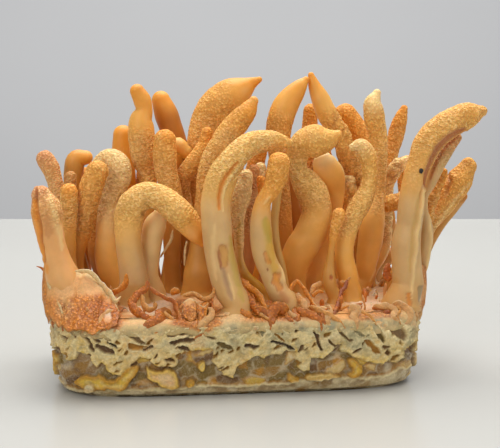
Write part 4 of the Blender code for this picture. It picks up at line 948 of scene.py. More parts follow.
def bareGrain(flat, at):
    # the grain under the crust: cells of leaning grains, some whole and pale, with veins and a film between
    # them
    leaning = np.stack([(at.a + 0.45 * at.b) / 5.4, (at.b - 0.35 * at.a) / 3.0, 0 * at.a], axis=1)
    cell, gap, owner = pebbles(leaning, 1.0, 55)
    coat = Coat(flat, crust, "glassy")
    for low, high, name in ((0.0, 0.28, "olive"), (0.28, 0.55, "brown"), (0.72, 0.88, "honey")):
        coat.lay(name, 0.85 * ((owner >= low) & (owner < high)))
    coat.lay("brown", 0.7 * coat.patch(0.1, 0.5, 3.0, 62))
    coat.lay("amber", 0.8 * coat.patch(0.22, 0.45, 4.0, 63))
    chunk, yellowed = (owner >= 0.55) & (owner < 0.66), owner >= 0.90
    body = ease(0.05, 0.2, gap - cell + 0.08 * at.fine)
    coat.lay("cream", 0.85 * body * chunk)
    coat.lay("yellow", 0.7 * body * yellowed)
    vein = ease(0.15, 0.0, gap - cell + 0.10 * at.fine) * coat.patch(-0.35, 0.35, 3.5, 70)
    film = coat.patch(0.05, 0.55, 3.2, 68) * ease(-0.3, 0.5, at.fine)
    coat.lay("white", np.maximum(0.5 * vein, 0.55 * film))
    coat.lay("amber", 0.5 * ease(0.3, 0.12, gap - cell) * (chunk | yellowed) * (1 - vein))
    height = -0.85 + 0.15 * at.fine + 0.25 * at.broad + 0.2 * vein + 0.55 * (0.45 - cell) + 0.12 * film
    return coat, height + 0.35 * body * (chunk | yellowed)


def upperCrust(flat, at, rim, overEdge):
    # the crust: slanting scales with pale edges, some chipped and some fallen out as pits, a yellow rim below
    coat = Coat(flat, crust, "cream")
    coat.lay("grey", 0.9 * coat.patch(-0.2, 0.3, 4.5, 64) * ease(-34.0, -30.0, at.b))
    coat.lay("peach", 0.6 * coat.patch(0.0, 0.5, 7.0, 65))
    coat.lay("orange", 0.55 * ease(-26.8, -24.3, at.b + 1.2 * at.broad))
    coat.lay("yellow", 0.28 * coat.patch(0.0, 0.5, 3.6, 75))
    coat.lay("yellow", 0.85 * rim * coat.patch(-0.5, 0.1, 8.0, 66))
    coat.lay("amber", 0.7 * ease(0.5, 0.05, overEdge) * coat.patch(-0.3, 0.2, 5.0, 69))
    aslant = np.stack([(at.a + 0.62 * at.b) / 2.9, (at.b - 0.62 * at.a) / 1.25, 0 * at.a], axis=1)
    scale, scaleGap, pick = pebbles(aslant, 1.0, 57)
    within = scaleGap - scale
    pit = (pick < 0.2) * ease(0.14, 0.32, within) * ease(-24.5, -26.5, at.b)
    chip = (pick > 0.4) * ease(0.03, 0.22, within)
    coat.lay("grey", 0.5 * chip * (pick > 0.75))
    coat.lay("pale", 0.45 * chip * (pick < 0.6))
    coat.lay("pale", 0.55 * ease(0.16, 0.04, within) * ease(-0.2, 0.3, at.fine))
    coat.lay("pale", 0.35 * at.flake)
    # painted shade: the crust is darker where the fine and grit noise sink it
    coat.dim(0.30 * ease(0.2, 0.7, -at.fine) + 0.16 * ease(0.1, 0.6, -at.grit))
    coat.cover(np.where(pick[:, None] < 0.06, np.array(crust["brown"]), np.array(crust["honey"])), pit)
    relief = 0.1 + 0.22 * at.fine + 0.15 * at.flake + 0.10 * at.grit + 0.2 * rim
    return coat.paint, relief + 0.30 * chip * pick - 0.75 * pit


def addFlap(coat, height, at, flap):
    # a torn flap lies level over what is under it, with a lip along its edge and a dark line of painted shade
    # beside it
    corners, colour, edgeColour = flap
    outline = rounded(corners)
    gapTo, _ = nearPath(at.a, at.b, outline + outline[:1])
    signed = np.where(insideOutline(at.a, at.b, outline), gapTo, -gapTo)
    hold = ease(-0.25, 0.30, signed)
    lip = hold * ease(1.5, 0.35, signed)
    cloth = Coat(coat.points, crust, colour)
    cloth.lay("pale", 0.3 * at.flake)
    cloth.lay(edgeColour, 0.8 * lip)
    # painted shade where the grit noise sinks the flap
    cloth.dim(0.12 * ease(0.1, 0.6, -at.grit))
    cloth.lay("amber", 0.75 * ease(0.45, 0.0, signed) * at.browned)
    coat.cover(cloth.paint, hold)
    # painted shade just outside the flap's edge
    coat.lay("dark", 0.35 * ease(-0.7, -0.1, signed) * (1 - hold))
    return height * (1 - hold) + hold * (0.10 + 0.14 * at.fine + 0.08 * at.grit + 0.42 * lip), hold


def addHusk(coat, height, at, husk):
    # an open husk is a sunken oval with streaks along it and a raised pale lip
    first, second, halfWidth, colour = husk
    gapTo, place = nearPath(at.a, at.b, [first, second])
    width = halfWidth * (0.55 + 0.45 * np.sqrt(np.clip(4 * place * (1 - place), 0, 1)))
    hold = ease(1.05, 0.75, gapTo / width)
    lip = bell(gapTo / width, 1.3, 0.28)
    streak = 0.5 + 0.5 * np.sin(gapTo * 14.0 + 3 * at.fine)
    shade = 0.72 + 0.5 * streak * ease(0.0, 0.8, gapTo / width)
    coat.cover(np.array(crust[colour])[None] * shade[:, None], hold)
    coat.lay("pale", 0.75 * lip * (1 - hold))
    return height * (1 - hold) - hold * (0.75 - 0.12 * streak) + 0.24 * lip * (1 - hold), hold


def addLedge(coat, height, at, level):
    # a thin lip along the level, and below it a paler strip of pressed grain
    under = ease(0.1, -0.2, at.b - level)
    lip = bell(at.b - level, 0.05, 0.28)
    strip = Coat(coat.points, crust, "strip")
    strip.lay("glassy", 0.8 * coat.patch(-0.15, 0.3, 3.0, 71))
    strip.lay("honey", 0.7 * ease(0.1, 0.4, layered(coat.points * np.array([0.6, 0.6, 1.0]), 3.0, 76)))
    strip.lay("amber", 0.6 * coat.patch(0.3, 0.55, 5.0, 72))
    strip.lay("white", 0.5 * coat.patch(0.35, 0.6, 1.8, 73))
    coat.cover(strip.paint, under)
    coat.lay("pale", 0.8 * lip)
    coat.lay("amber", 0.45 * bell(at.b - level, 0.55, 0.3))
    return height * (1 - under) + under * (-0.35 + 0.25 * at.fine) + 0.35 * lip, under, lip


def blockSkin():
    # rings from the middle of the base out to its edge, up the side and in over the top; each point then
    # moves out or in by the height of crust, flap, husk or ledge at its place (a along the front or round the
    # sides, b up)
    angle = blockOutline(block["places"])
    rows = slabRings(angle, 0.0, (0.02, 0.5, 0.8, 0.9))
    for height in np.arange(0.0, block["top"] + 0.01, block["rowGap"]):
        rows.append(slabPoint(angle, levelAt(height, block["levels"]), height))
    rows += slabRings(angle, block["top"], (0.97, 0.9, 0.5, 0.02))
    surface = np.stack(rows)
    normals = gridNormals(surface).reshape(-1, 3)
    flat = surface.reshape(-1, 3)
    u, w = paneOf(flat)
    walk = walked(slabPoint(angle, 0, 0.0))
    isFront = ease(0.35, 0.6, normals @ np.array([-0.1, -1.0, 0.0])) * (flat[:, 1] < block["frontLine"]) > 0.5
    beyond = block["sideStart"] + np.tile(walk, len(rows))
    level = block["paneFoot"] + block["paneRise"] * flat[:, 2]
    at = SimpleNamespace(
        a=np.where(isFront, u, beyond) + 0.80 * layered(flat, 2.6, 41) + 0.25 * softNoise(flat, 0.8, 43),
        b=np.where(isFront, w, level) + 0.65 * layered(flat, 2.6, 42) + 0.22 * softNoise(flat, 0.8, 44),
        broad=layered(flat, 9.0, 51), fine=layered(flat, 2.0, 52), grit=layered(flat, 0.8, 53, 2),
        flake=ease(0.25, 0.75, 1 - 1.6 * np.abs(softNoise(flat * np.array([1, 1, 1.7]), 1.5, 67))),
        browned=ease(-0.6, 0.1, layered(flat, 5.0, 74)))
    sideEdge = block["sideEdge"] + 1.6 * layered(flat * np.array([1, 1, 0.2]), 6.0, 54)
    overEdge = at.b - np.where(isFront, levelAt(at.a, crustEdge), sideEdge)
    crustShare = ease(-0.25, 0.25, overEdge)
    rim = crustShare * ease(1.5, 0.2, overEdge)
    coat, height = bareGrain(flat, at)
    upper, relief = upperCrust(flat, at, rim, overEdge)
    coat.cover(upper, crustShare)
    height = height * (1 - crustShare) + crustShare * relief
    wet = 1 - crustShare
    moreHusks, moreFlaps = randomBits(7, walk[-1])
    for flap in flaps + moreFlaps:
        height, hold = addFlap(coat, height, at, flap)
        wet = wet * (1 - hold)
    for husk in husks + moreHusks:
        height, hold = addHusk(coat, height, at, husk)
        wet = np.maximum(wet, 0.5 * hold)
    ledgeLevel = np.where(isFront, levelAt(at.a, ledge), block["sideLedge"] + 0.5 * at.broad)
    height, under, lip = addLedge(coat, height, at, ledgeLevel)
    wet = np.maximum(wet * (1 - lip), under * 0.8)
    upright = ease(0.2, 0.8, np.hypot(normals[:, 0], normals[:, 1])) * ease(0.05, 0.9, flat[:, 2] + 0.35)
    flat = flat + normals * (height * upright)[:, None] * np.array([1.0, 1.0, 0.35])
    flat[:, 2] = np.maximum(flat[:, 2], 0.0)
    return inRings(surface, flat, coat.paint, wet=wet)


def grainMaterial():
    # the painted crust with fine speckle and thin pale threads; glassy where the grain is bare
    f = Finish("grainAndCrust", {"Subsurface Weight": 0.08, "Subsurface Radius": (1.0, 0.6, 0.3),
                                 "Subsurface Scale": 0.0015})
    place, wet = f.place(), f.mask("wet")
    speckle = f.noise(place, 1900.0, 3.0, 0.65)
    thread = f.limits((f.noise(place, 420.0, 2.0) - 0.5).maths("ABSOLUTE", 0.0), 0.0, 0.02, 1.0, 0.0)
    shade = 1 + (f.limits(speckle, 0.25, 0.75, 0.80, 1.14) - 1) * (1 - wet * 0.7)
    colour = f.tinted("MIX", thread * wet * 0.3, f.scaled(f.skinColour(), shade), (0.62, 0.52, 0.34, 1.0))
    height = speckle * (1 - wet * 0.6) + thread * 0.3 * wet
    roughness = f.limits(wet, 0.0, 1.0, 0.72, 0.24) + f.limits(speckle, 0.3, 0.7, -0.05, 0.08)
    return f.finish(colour, roughness, f.bump(height, 0.7, 0.00025))


skinPiece("grainBlock", [blockSkin()], grainMaterial(), "substrate_block")
print("block done, faces:", sum(faceCount))


# Mat: the felt of mycelium over the grain, rising round every foot, its rim hanging in lobes over the block's
# side. The rim's rows are shares of the way from its lowest edge to its shoulder, and how far each stands out
mat = {"top": 20.5, "places": 520, "rings": 70, "mound": 1.5, "moundReach": 1.25, "hang": 16.6, "under": 18.3,
       "shoulder": 20.3, "grain": 0.62, "sideEdge": -23.7,
       "rim": [(0.0, 0.1), (0.03, 0.35), (0.1, 0.45), (0.2, 0.45), (0.3, 0.42), (0.4, 0.36), (0.5, 0.28),
               (0.6, 0.16), (0.7, -0.04), (0.79, -0.35), (0.87, -0.8), (0.93, -1.35), (0.97, -2.0),
               (1.0, -2.8)]}
felt = palette(
    lilac="E6C8A8", peach="DDA468", apricot="D8944A", skin="D89E60", cream="E0C088", mauve="B08452",
    rust="BE681A", orange="DA821E", ember="9A4A0C", gold="E89A44", white="EFDDC0", crust="C2A66E",
    grey="A79C78")

# Coloured places of the mat on the pane: middle, half sizes, colour, strength
matSpots = [((-26, -19.5), (7, 4), "lilac", 0.9), ((-19, -16.5), (6, 2.5), "lilac", 0.7),
            ((33, -19), (10, 3.4), "lilac", 0.6), ((31, -16.5), (5, 2.5), "mauve", 0.4),
            ((20, -20), (4, 2.5), "mauve", 0.4), ((-41, -22.5), (9.5, 5.2), "orange", 0.9),
            ((-37, -23), (6, 4.6), "rust", 0.85), ((-46.5, -21), (2.4, 3), "cream", 0.5),
            ((-35.6, -23.2), (0.9, 1.7), "lilac", 0.95), ((-12.5, -23.5), (6.5, 3.8), "orange", 0.75),
            ((-17.5, -22.5), (2.4, 4), "rust", 0.7), ((4, -21.5), (7.5, 4.2), "orange", 0.85),
            ((9.5, -21.5), (4.5, 3.6), "rust", 0.6), ((-4.5, -23.5), (3.5, 2), "cream", 0.5),
            ((22, -22.5), (5.5, 2.4), "apricot", 0.7), ((31, -23), (7, 1.6), "orange", 0.5),
            ((-26, -24), (5, 0.9), "cream", 0.6), ((40, -21.5), (4, 3), "cream", 0.4)]

# Where the mat's own colour ends and crust begins on the front, on the pane
matEdge = [(-52, -25.25), (-49, -25.5), (-45.5, -26.5), (-40, -27.2), (-33, -27), (-30.5, -24), (-26, -23.5),
           (-22.5, -24.5), (-19, -25.5), (-15, -26.5), (-11, -27), (-7, -25), (-2, -24.5), (3, -24.5),
           (7, -23.5), (11, -24.5), (15, -23), (18, -22), (22.5, -23.5), (27.5, -24.5), (33, -23), (40, -24),
           (44, -25.25)]


def spotPaint(coat, granular, seed):
    # each coloured place is an oval on the pane with a wandering edge; orange and rust ones are granular,
    # lilac smooth
    u, w = paneOf(coat.points)
    wander = 1.0 + 0.35 * layered(coat.points, 2.0, seed, 2)
    for (cu, cw), (hu, hw), colour, strength in matSpots:
        hold = ease(1.15, 0.7, np.hypot((u - cu) / hu, (w - cw) / hw) * wander) * (coat.points[:, 1] < 8)
        coat.lay(colour, strength * hold)
        if colour in ("orange", "rust"):
            granular = np.maximum(granular, hold)
        elif colour == "lilac":
            granular = granular * (1 - hold)
    return granular


def matRings(edge):
    # rings from under the middle out to the rim, round its hanging edge and back over the top
    ring = slabPoint(edge, 0, 0.0)
    lobes = 0.7 * softNoise(ring, 7.0, 81) + 0.6 * softNoise(ring, 2.2, 82)
    hang = mat["hang"] + 1.1 * lobes - 0.7 * ease(-10.0, -26.0, ring[:, 1])
    rows = slabRings(edge, mat["under"], (0.02, 0.5, 0.9, 0.985))
    for share, spread in mat["rim"]:
        rows.append(slabPoint(edge, spread + 0.12 * lobes, hang + (mat["shoulder"] - hang) * share))
    for share in np.linspace(0.93, 0.015, mat["rings"]) ** 0.85:
        rows.append(slabPoint(edge, -0.6, mat["top"]) * np.array([share, share, 1.0]))
    return np.stack(rows)


def matSkin():
    # the top rises by mound * exp(-distance beyond a foot / reach) and carries fine folds; below its edge it
    # is crusted
    surface = matRings(blockOutline(mat["places"]))
    normals = gridNormals(surface).reshape(-1, 3)
    flat = surface.reshape(-1, 3)
    isTop = ease(0.4, 0.9, normals[:, 2])
    rise = np.zeros(len(flat))
    for root, foot, _ in clubs.values():
        beyond = np.maximum(np.hypot(flat[:, 0] - root[0], flat[:, 1] - root[1]) - foot, 0)
        rise = np.maximum(rise, np.exp(-beyond / mat["moundReach"]) * min(1.0, 0.35 + foot / 5.0))
    folds = 1 - 2 * np.abs(layered(flat * np.array([1, 1, 0.6]), 3.2, 84, 2))
    fine = layered(flat, 1.1, 85, 2)
    coat = Coat(flat, felt, "peach")
    coat.lay("skin", coat.patch(-0.3, 0.4, 9.0, 86))
    coat.lay("lilac", 0.5 * coat.patch(0.0, 0.5, 7.0, 87))
    coat.lay("apricot", 0.6 * ease(0.3, 0.9, rise))
    coat.lay("cream", 0.5 * ease(0.3, 0.8, folds) * (1 - isTop * 0.5))
    burnt = coat.patch(0.1, 0.6, 6.0, 88) * (1 - isTop * 0.6)
    coat.lay("orange", 0.65 * burnt)
    granular = spotPaint(coat, 0.35 * burnt, 89)
    near, _, _ = pebbles(flat, mat["grain"], 90)
    # painted shade in ember between the beads and a painted highlight in gold on their tops, where the mat is
    # granular
    coat.lay("ember", granular * 0.65 * ease(0.5, 0.9, near))
    coat.lay("gold", granular * 0.3 * ease(0.4, 0.1, near))
    u, w = paneOf(flat)
    isFront = flat[:, 1] < block["frontLine"]
    boundary = np.where(isFront, levelAt(u, matEdge), mat["sideEdge"] + 1.4 * softNoise(flat, 6.0, 91))
    height = np.where(isFront, w, block["paneFoot"] + flat[:, 2])
    crusty = ease(0.5, -0.5, height + 0.9 * layered(flat, 2.2, 92) - boundary) * (1 - isTop)
    bark = Coat(flat, felt, "crust")
    bark.lay("grey", bark.patch(-0.2, 0.4, 3.5, 93))
    bark.lay("cream", 0.5 * ease(0.3, 0.8, folds))
    # painted shade where the fine noise sinks the crusted felt
    bark.dim(0.4 * ease(0.1, 0.7, -fine))
    coat.cover(bark.paint, crusty)
    granular = granular * (1 - crusty)
    move = 0.28 * folds + 0.2 * fine + granular * 0.42 * (0.5 - near)
    move = move * ease(mat["under"], mat["under"] + 0.5, flat[:, 2] + (1 - isTop))
    flat = flat + normals * move[:, None] * np.array([1, 1, 0.7])
    flat[:, 2] += isTop * rise * mat["mound"]
    return inRings(surface, flat, coat.paint, rough=np.clip(granular, 0, 1))


def feltMaterial():
    # the painted felt with matted fibres and, where it is granular, beads with a painted highlight on top and
    # painted shade between them
    f = Finish("myceliumFelt", {"Subsurface Weight": 0.18, "Subsurface Radius": (1.0, 0.45, 0.2),
                                "Subsurface Scale": 0.002})
    place, rough = f.place(), f.mask("rough")
    fibres = f.noise(place, 1500.0, 4.0, 0.7)
    beads = f.pimples(place, 1600.0, 0.05, 0.6)
    shade = f.limits(fibres, 0.25, 0.8, 0.84, 1.14) * (1 + rough * (f.limits(beads, 0.1, 0.9, 0.74, 1.2) - 1))
    height = fibres * 0.6 + rough * beads
    return f.finish(f.scaled(f.skinColour(), shade), 0.62 - rough * 0.18, f.bump(height, 0.75, 0.00025))


feltSkin = feltMaterial()
skinPiece("myceliumSkin", [matSkin()], feltSkin, "mycelium_mat")
print("mat done, faces:", sum(faceCount))


# Frills: dried folds, loops and strands of mycelium that stand up from the mat's front edge
frillLook = {"step": 0.42, "around": 12, "fine": 14}

# Each frill: points (across, up, depth y, half width) on sight lines, how far its flat side turns in degrees
# from start to end, its thickness, colour, edge colour and how beaded it is
frills = [
    # the torn edge left of the first arch, and the tongue beside it
    ([(-43.9, -11.8, -17.5, 0.3), (-40.5, -12, -18, 0.5), (-37.5, -14.8, -19, 0.6), (-35, -17.6, -21, 0.7),
      (-33.6, -19.4, -22.5, 0.6), (-32.2, -18, -21, 0.3)], (70, 40), 0.3, "cream", "white", 0.1),
    ([(-34.8, -17.6, -17, 0.8), (-32.6, -16.7, -17, 0.9), (-31, -14.7, -17, 0.75), (-31, -12.4, -17, 0.45)],
      (60, 80), 0.28, "orange", "cream", 0.4),
    # the dark loop, its curl and its long arm
    ([(-25.8, -14, -22, 0.25), (-25.6, -15.2, -22, 0.55), (-26.6, -16.6, -22, 0.8),
      (-28.6, -18.2, -22.5, 0.95), (-29.9, -19.8, -23, 1), (-29.2, -21.4, -24, 1.1), (-27.2, -22.8, -25, 1),
      (-25, -24.4, -26, 0.8)], (60, 35), 0.38, "rust", "orange", 0.9),
    ([(-27, -17.6, -22.5, 0.5), (-26.9, -19.6, -23, 0.7), (-25.4, -21.6, -24, 0.85), (-23.7, -21, -24, 0.6),
      (-24, -19.4, -24, 0.35)], (70, 20), 0.28, "apricot", "white", 0.2),
    ([(-25.6, -15.4, -22, 0.5), (-23.6, -17.2, -22.5, 0.55), (-21.2, -18.6, -23, 0.6),
      (-19.4, -19.4, -23.5, 0.65), (-18.3, -22, -25, 0.7), (-17.4, -24.8, -27, 0.8)], (55, 65), 0.36, "rust",
      "cream", 0.8),
    ([(-25, -23, -26, 0.6), (-23.4, -25.4, -27.5, 0.9), (-23.9, -27.4, -28.3, 0.7)], (15, 20), 0.3, "orange",
      "cream", 0.5),
    ([(-22, -21.2, -25, 0.3), (-20.6, -23, -26, 0.45), (-19, -24.2, -27, 0.4)], (30, 60), 0.22, "apricot",
      "cream", 0.2),
    # the holed membrane between the loop and the pale club
    ([(-19.6, -17.8, -21, 0.5), (-18.9, -16.9, -21, 0.9), (-17.6, -17.3, -21, 0.7)], (15, 20), 0.3, "orange",
      "cream", 0.5),
    ([(-17, -18, -22, 0.4), (-14, -17.6, -22, 0.6), (-11.4, -19, -23, 0.8), (-9.4, -18.2, -23, 0.6),
      (-8.9, -15.2, -22, 0.35)], (35, 50), 0.28, "apricot", "cream", 0.5),
    ([(-18, -21, -24, 0.35), (-17.2, -24.4, -26.5, 0.45), (-15.2, -24.8, -27, 0.5), (-13.8, -23.6, -26, 0.55),
      (-14.6, -20.6, -24, 0.6), (-16.4, -20, -24, 0.45), (-17.6, -21.2, -24.3, 0.35)], (35, 40), 0.32,
      "apricot", "cream", 0.3),
    ([(-10.8, -19.2, -23, 1.1), (-11.6, -21.6, -25, 0.9), (-12.6, -24.6, -27, 1), (-13.4, -26.2, -28, 0.7)],
      (20, 15), 0.34, "orange", "cream", 0.8),
    ([(-9.6, -17, -22, 0.22), (-9.5, -20, -24, 0.3), (-9.3, -23, -26, 0.34), (-9.8, -25.6, -27.6, 0.3),
      (-12, -27.6, -28.4, 0.3), (-14.2, -28.8, -28.6, 0.25)], (50, 50), 0.26, "rust", "orange", 1),
    # the dark red frill at the foot of the knobbed club
    ([(-2.9, -13.2, -20, 0.5), (-1.6, -15, -21, 0.9), (0.2, -16.4, -22, 1), (1.8, -17.6, -23, 0.8),
      (3.2, -19.8, -25, 0.7), (4.2, -22.4, -27, 0.6)], (55, 40), 0.34, "orange", "cream", 0.7),
    ([(-1.9, -15.6, -21.5, 0.6), (-0.9, -18.2, -23, 0.9), (0.6, -20.4, -25, 1), (2.2, -22.6, -27, 0.8)],
      (25, 30), 0.34, "rust", "orange", 0.9),
    ([(0.6, -17.4, -22.6, 0.3), (1, -19.6, -24, 0.35), (2.4, -21.2, -25.5, 0.3)], (60, 60), 0.3, "ember",
      "rust", 0.6),
    ([(-3.4, -21.2, -25, 0.7), (-1.6, -22.6, -26.5, 0.9), (0.6, -23.2, -27.5, 0.7)], (10, 10), 0.3, "orange",
      "rust", 1),
    # the ribbon and curls right of the knobbed club
    ([(10.3, -18, -22, 0.3), (10.4, -16, -21.5, 0.45), (11.6, -14.5, -21, 0.5), (13.2, -16, -21.5, 0.55),
      (14.6, -18.4, -23, 0.55), (16.2, -20.8, -25, 0.55), (17.6, -22.6, -26.5, 0.5)], (45, 60), 0.28,
      "orange", "cream", 0.6),
    ([(11.2, -17.6, -22.3, 0.8), (12.8, -19.2, -24, 1), (13.8, -21.4, -26, 0.9)], (10, 10), 0.26, "skin",
      "cream", 0.3),
    ([(15.2, -17.8, -21, 0.45), (16, -16, -20.5, 0.55), (17.6, -14.8, -20, 0.5), (18.1, -14.4, -20, 0.3)],
      (60, 35), 0.26, "apricot", "white", 0.3),
    ([(15.6, -18.2, -21.5, 0.5), (17.4, -16.9, -21, 0.4), (18.4, -17.2, -21, 0.3)], (20, 20), 0.22, "orange",
      "cream", 0.3),
    # the starred frill and its beaded line
    ([(22.4, -14.4, -17, 0.45), (23.6, -15, -17.4, 0.6), (24.6, -14, -17.4, 0.45),
      (25.2, -13.2, -17.4, 0.22)], (40, 60), 0.26, "apricot", "cream", 0.4),
    ([(24.4, -13.8, -17.5, 0.3), (23.9, -15.4, -18.5, 0.55), (22.7, -17, -20, 0.6), (22.3, -19.2, -22, 0.5),
      (21.6, -21.4, -24.5, 0.55), (20.6, -23.6, -26.5, 0.6)], (35, 45), 0.32, "ember", "orange", 1),
    ([(22, -21.6, -24.4, 0.3), (20.4, -22.2, -25, 0.4), (18.8, -22.8, -26, 0.35)], (30, 30), 0.22, "orange",
      "cream", 0.4),
    # red-brown scraps on the right
    ([(24.8, -21.4, -24, 0.35), (26.4, -20.6, -23.6, 0.45), (28.2, -19.9, -23, 0.3)], (20, 50), 0.22, "rust",
      "cream", 0.5),
    ([(25.4, -22.6, -25, 0.3), (27.2, -21.6, -24.4, 0.3), (28.2, -20.4, -23.6, 0.25)], (50, 50), 0.2, "rust",
      "orange", 0.5),
    ([(30.4, -20.9, -23.5, 0.3), (33, -21.2, -23.8, 0.35), (35.4, -20.8, -23.6, 0.3)], (20, 20), 0.2, "rust",
      "cream", 0.4),
    ([(33.4, -22.6, -25, 0.7), (35.2, -22.2, -25, 0.8)], (0, 10), 0.25, "ember", "orange", 0.6),
    ([(34.8, -9.6, -6, 0.5), (34.2, -12.2, -6.5, 0.9), (34.8, -14.4, -7, 0.8)], (30, 30), 0.3, "rust",
      "cream", 0.6),
    # the left rim: spike, membrane and its holes
    ([(-53.4, -10.5, -12, 0.12), (-52.3, -10.9, -12, 0.28), (-51.2, -11.9, -12.5, 0.35)], (20, 20), 0.22,
      "rust", "orange", 0.3),
    ([(-50.6, -14.5, -16, 0.3), (-49.4, -17.6, -18, 0.4), (-47.6, -20.6, -21, 0.4),
      (-46.6, -23.6, -23, 0.35)], (60, 50), 0.28, "cream", "orange", 0.4),
    # the thin strands in the hollow under the arch
    ([(-22.4, -8.4, -3, 0.28), (-20.9, -6, -3, 0.3), (-19.6, -3.4, -3, 0.28), (-19.4, -1.4, -3, 0.2)],
      (40, 40), 0.2, "cream", "white", 0),
    ([(-16.4, -10.6, -3, 0.2), (-16.3, -7, -3, 0.24), (-15.8, -4.2, -3, 0.2)], (40, 40), 0.18, "cream",
      "white", 0),
]


def sweep(route, turns, thick, colour, edgeColour, beaded, seed):
    # an oval profile carried along a curve: wide across the flat side, thin through it, turning slowly about
    # the curve, with a fluttering width, a crumpled line and beads
    line, along = evenStations(route, frillLook["step"])
    line[:, :3] += np.stack([0.16 * layered(line[:, :3], 1.6, seed + k, 2) for k in range(3)], axis=1)
    _, side, back = crossAxes(line[:, :3], (0.15, 1.0, 0.1))
    share = along / along[-1]
    turn = 0.35 * (turns[0] + (turns[1] - turns[0]) * share) + 30 * softNoise(line[:, :3], 2.0, seed + 5)
    cos, sin = np.cos(np.radians(turn))[:, None], np.sin(np.radians(turn))[:, None]
    ends = np.sqrt(np.clip(1 - (2 * share - 1) ** 12, 0.02, 1))
    width = (1.15 * line[:, 3] * ends * (1 + 0.3 * softNoise(line[:, :3], 1.2, seed + 6)))[:, None]
    through = ((thick * 0.45 + 0.08 * beaded) * ends)[:, None]
    angle = fullTurn(frillLook["around"])
    onFlat, onThin = width * np.cos(angle), through * np.sin(angle) + 0.35 * width * np.cos(angle) ** 2
    surface = line[:, None, :3] + onFlat[..., None] * (side * cos + back * sin)[:, None]
    surface = surface + onThin[..., None] * (back * cos - side * sin)[:, None]
    normals = gridNormals(surface).reshape(-1, 3)
    flat = surface.reshape(-1, 3)
    near, _, _ = pebbles(flat, 0.8, seed + 7)
    flat = flat + normals * (beaded * 0.28 * (0.5 - near) + 0.05 * softNoise(flat, 0.7, seed + 8))[:, None]
    edge = np.tile(np.abs(np.cos(angle)), len(line))
    coat = Coat(flat, felt, colour)
    # painted shade: ember in the valleys between the beads
    coat.lay("ember", 0.55 * beaded * ease(0.45, 0.8, near))
    coat.lay("orange", 0.45 * coat.patch(0.0, 0.6, 1.8, seed + 9, 2))
    coat.lay(edgeColour, 0.8 * ease(0.86, 0.99, edge) * ease(-0.4, 0.2, softNoise(flat, 1.5, seed + 11)))
    return inRings(surface, flat, coat.paint, rough=0.25 + 0.7 * beaded)


# Sheets: torn membranes between an upper and a lower line, given as points (across, up, depth y), with
# thickness, colour, the colour of the torn upper edge, and how beaded they are
sheets = [
    # the skirt at the foot of the leftmost club
    ([(-50.3, -13, -14.5), (-46.8, -11.4, -15.5), (-43.8, -11.9, -16), (-40.6, -12.4, -17),
      (-37.6, -15, -18.5), (-34.6, -18.5, -21), (-32.6, -21.8, -24)], [(-51.2, -22, -19), (-48.6, -25, -23),
      (-44.6, -26.8, -27.4), (-40.5, -27.4, -28.3), (-36.8, -27, -28.3), (-33.2, -25.6, -27.8)], 0.5, "peach",
      "cream", 0),
    # the membrane from its left side down to the rim
    ([(-51.3, -9, -14), (-50.2, -12, -15), (-49.2, -15.5, -17), (-48.2, -19, -20)], [(-51.9, -13, -12),
      (-52, -17, -12), (-51.6, -21, -13), (-50.4, -24.5, -16)], 0.35, "apricot", "cream", 0.3),
    # the flared skin at the foot of the tall club on the right
    ([(41.8, -9.5, -15), (42, -13, -15.5), (41.5, -17, -17), (40.6, -21, -19.5)], [(44, -11, -12),
      (44.2, -15, -12), (43.9, -19, -13), (43, -23, -15)], 0.4, "skin", "cream", 0.1),
    # the holed membrane and the small triangular flap between the loop and the pale club
    ([(-13, -19.4, -24), (-11.6, -20.6, -24.6), (-10.4, -19.6, -24.6)], [(-12.6, -25.6, -28),
      (-12, -26.2, -28.2), (-11.2, -25.4, -28)], 0.3, "rust", "cream", 0.6),
    ([(-16.8, -19.6, -24), (-15.2, -18.6, -23.6), (-13.4, -19.6, -24)], [(-16.6, -23.6, -27),
      (-15, -24.8, -27.6), (-13.4, -23.8, -27)], 0.3, "peach", "cream", 0.1),
]
sheetLook = {"step": 0.4, "down": 22, "grain": 0.6}


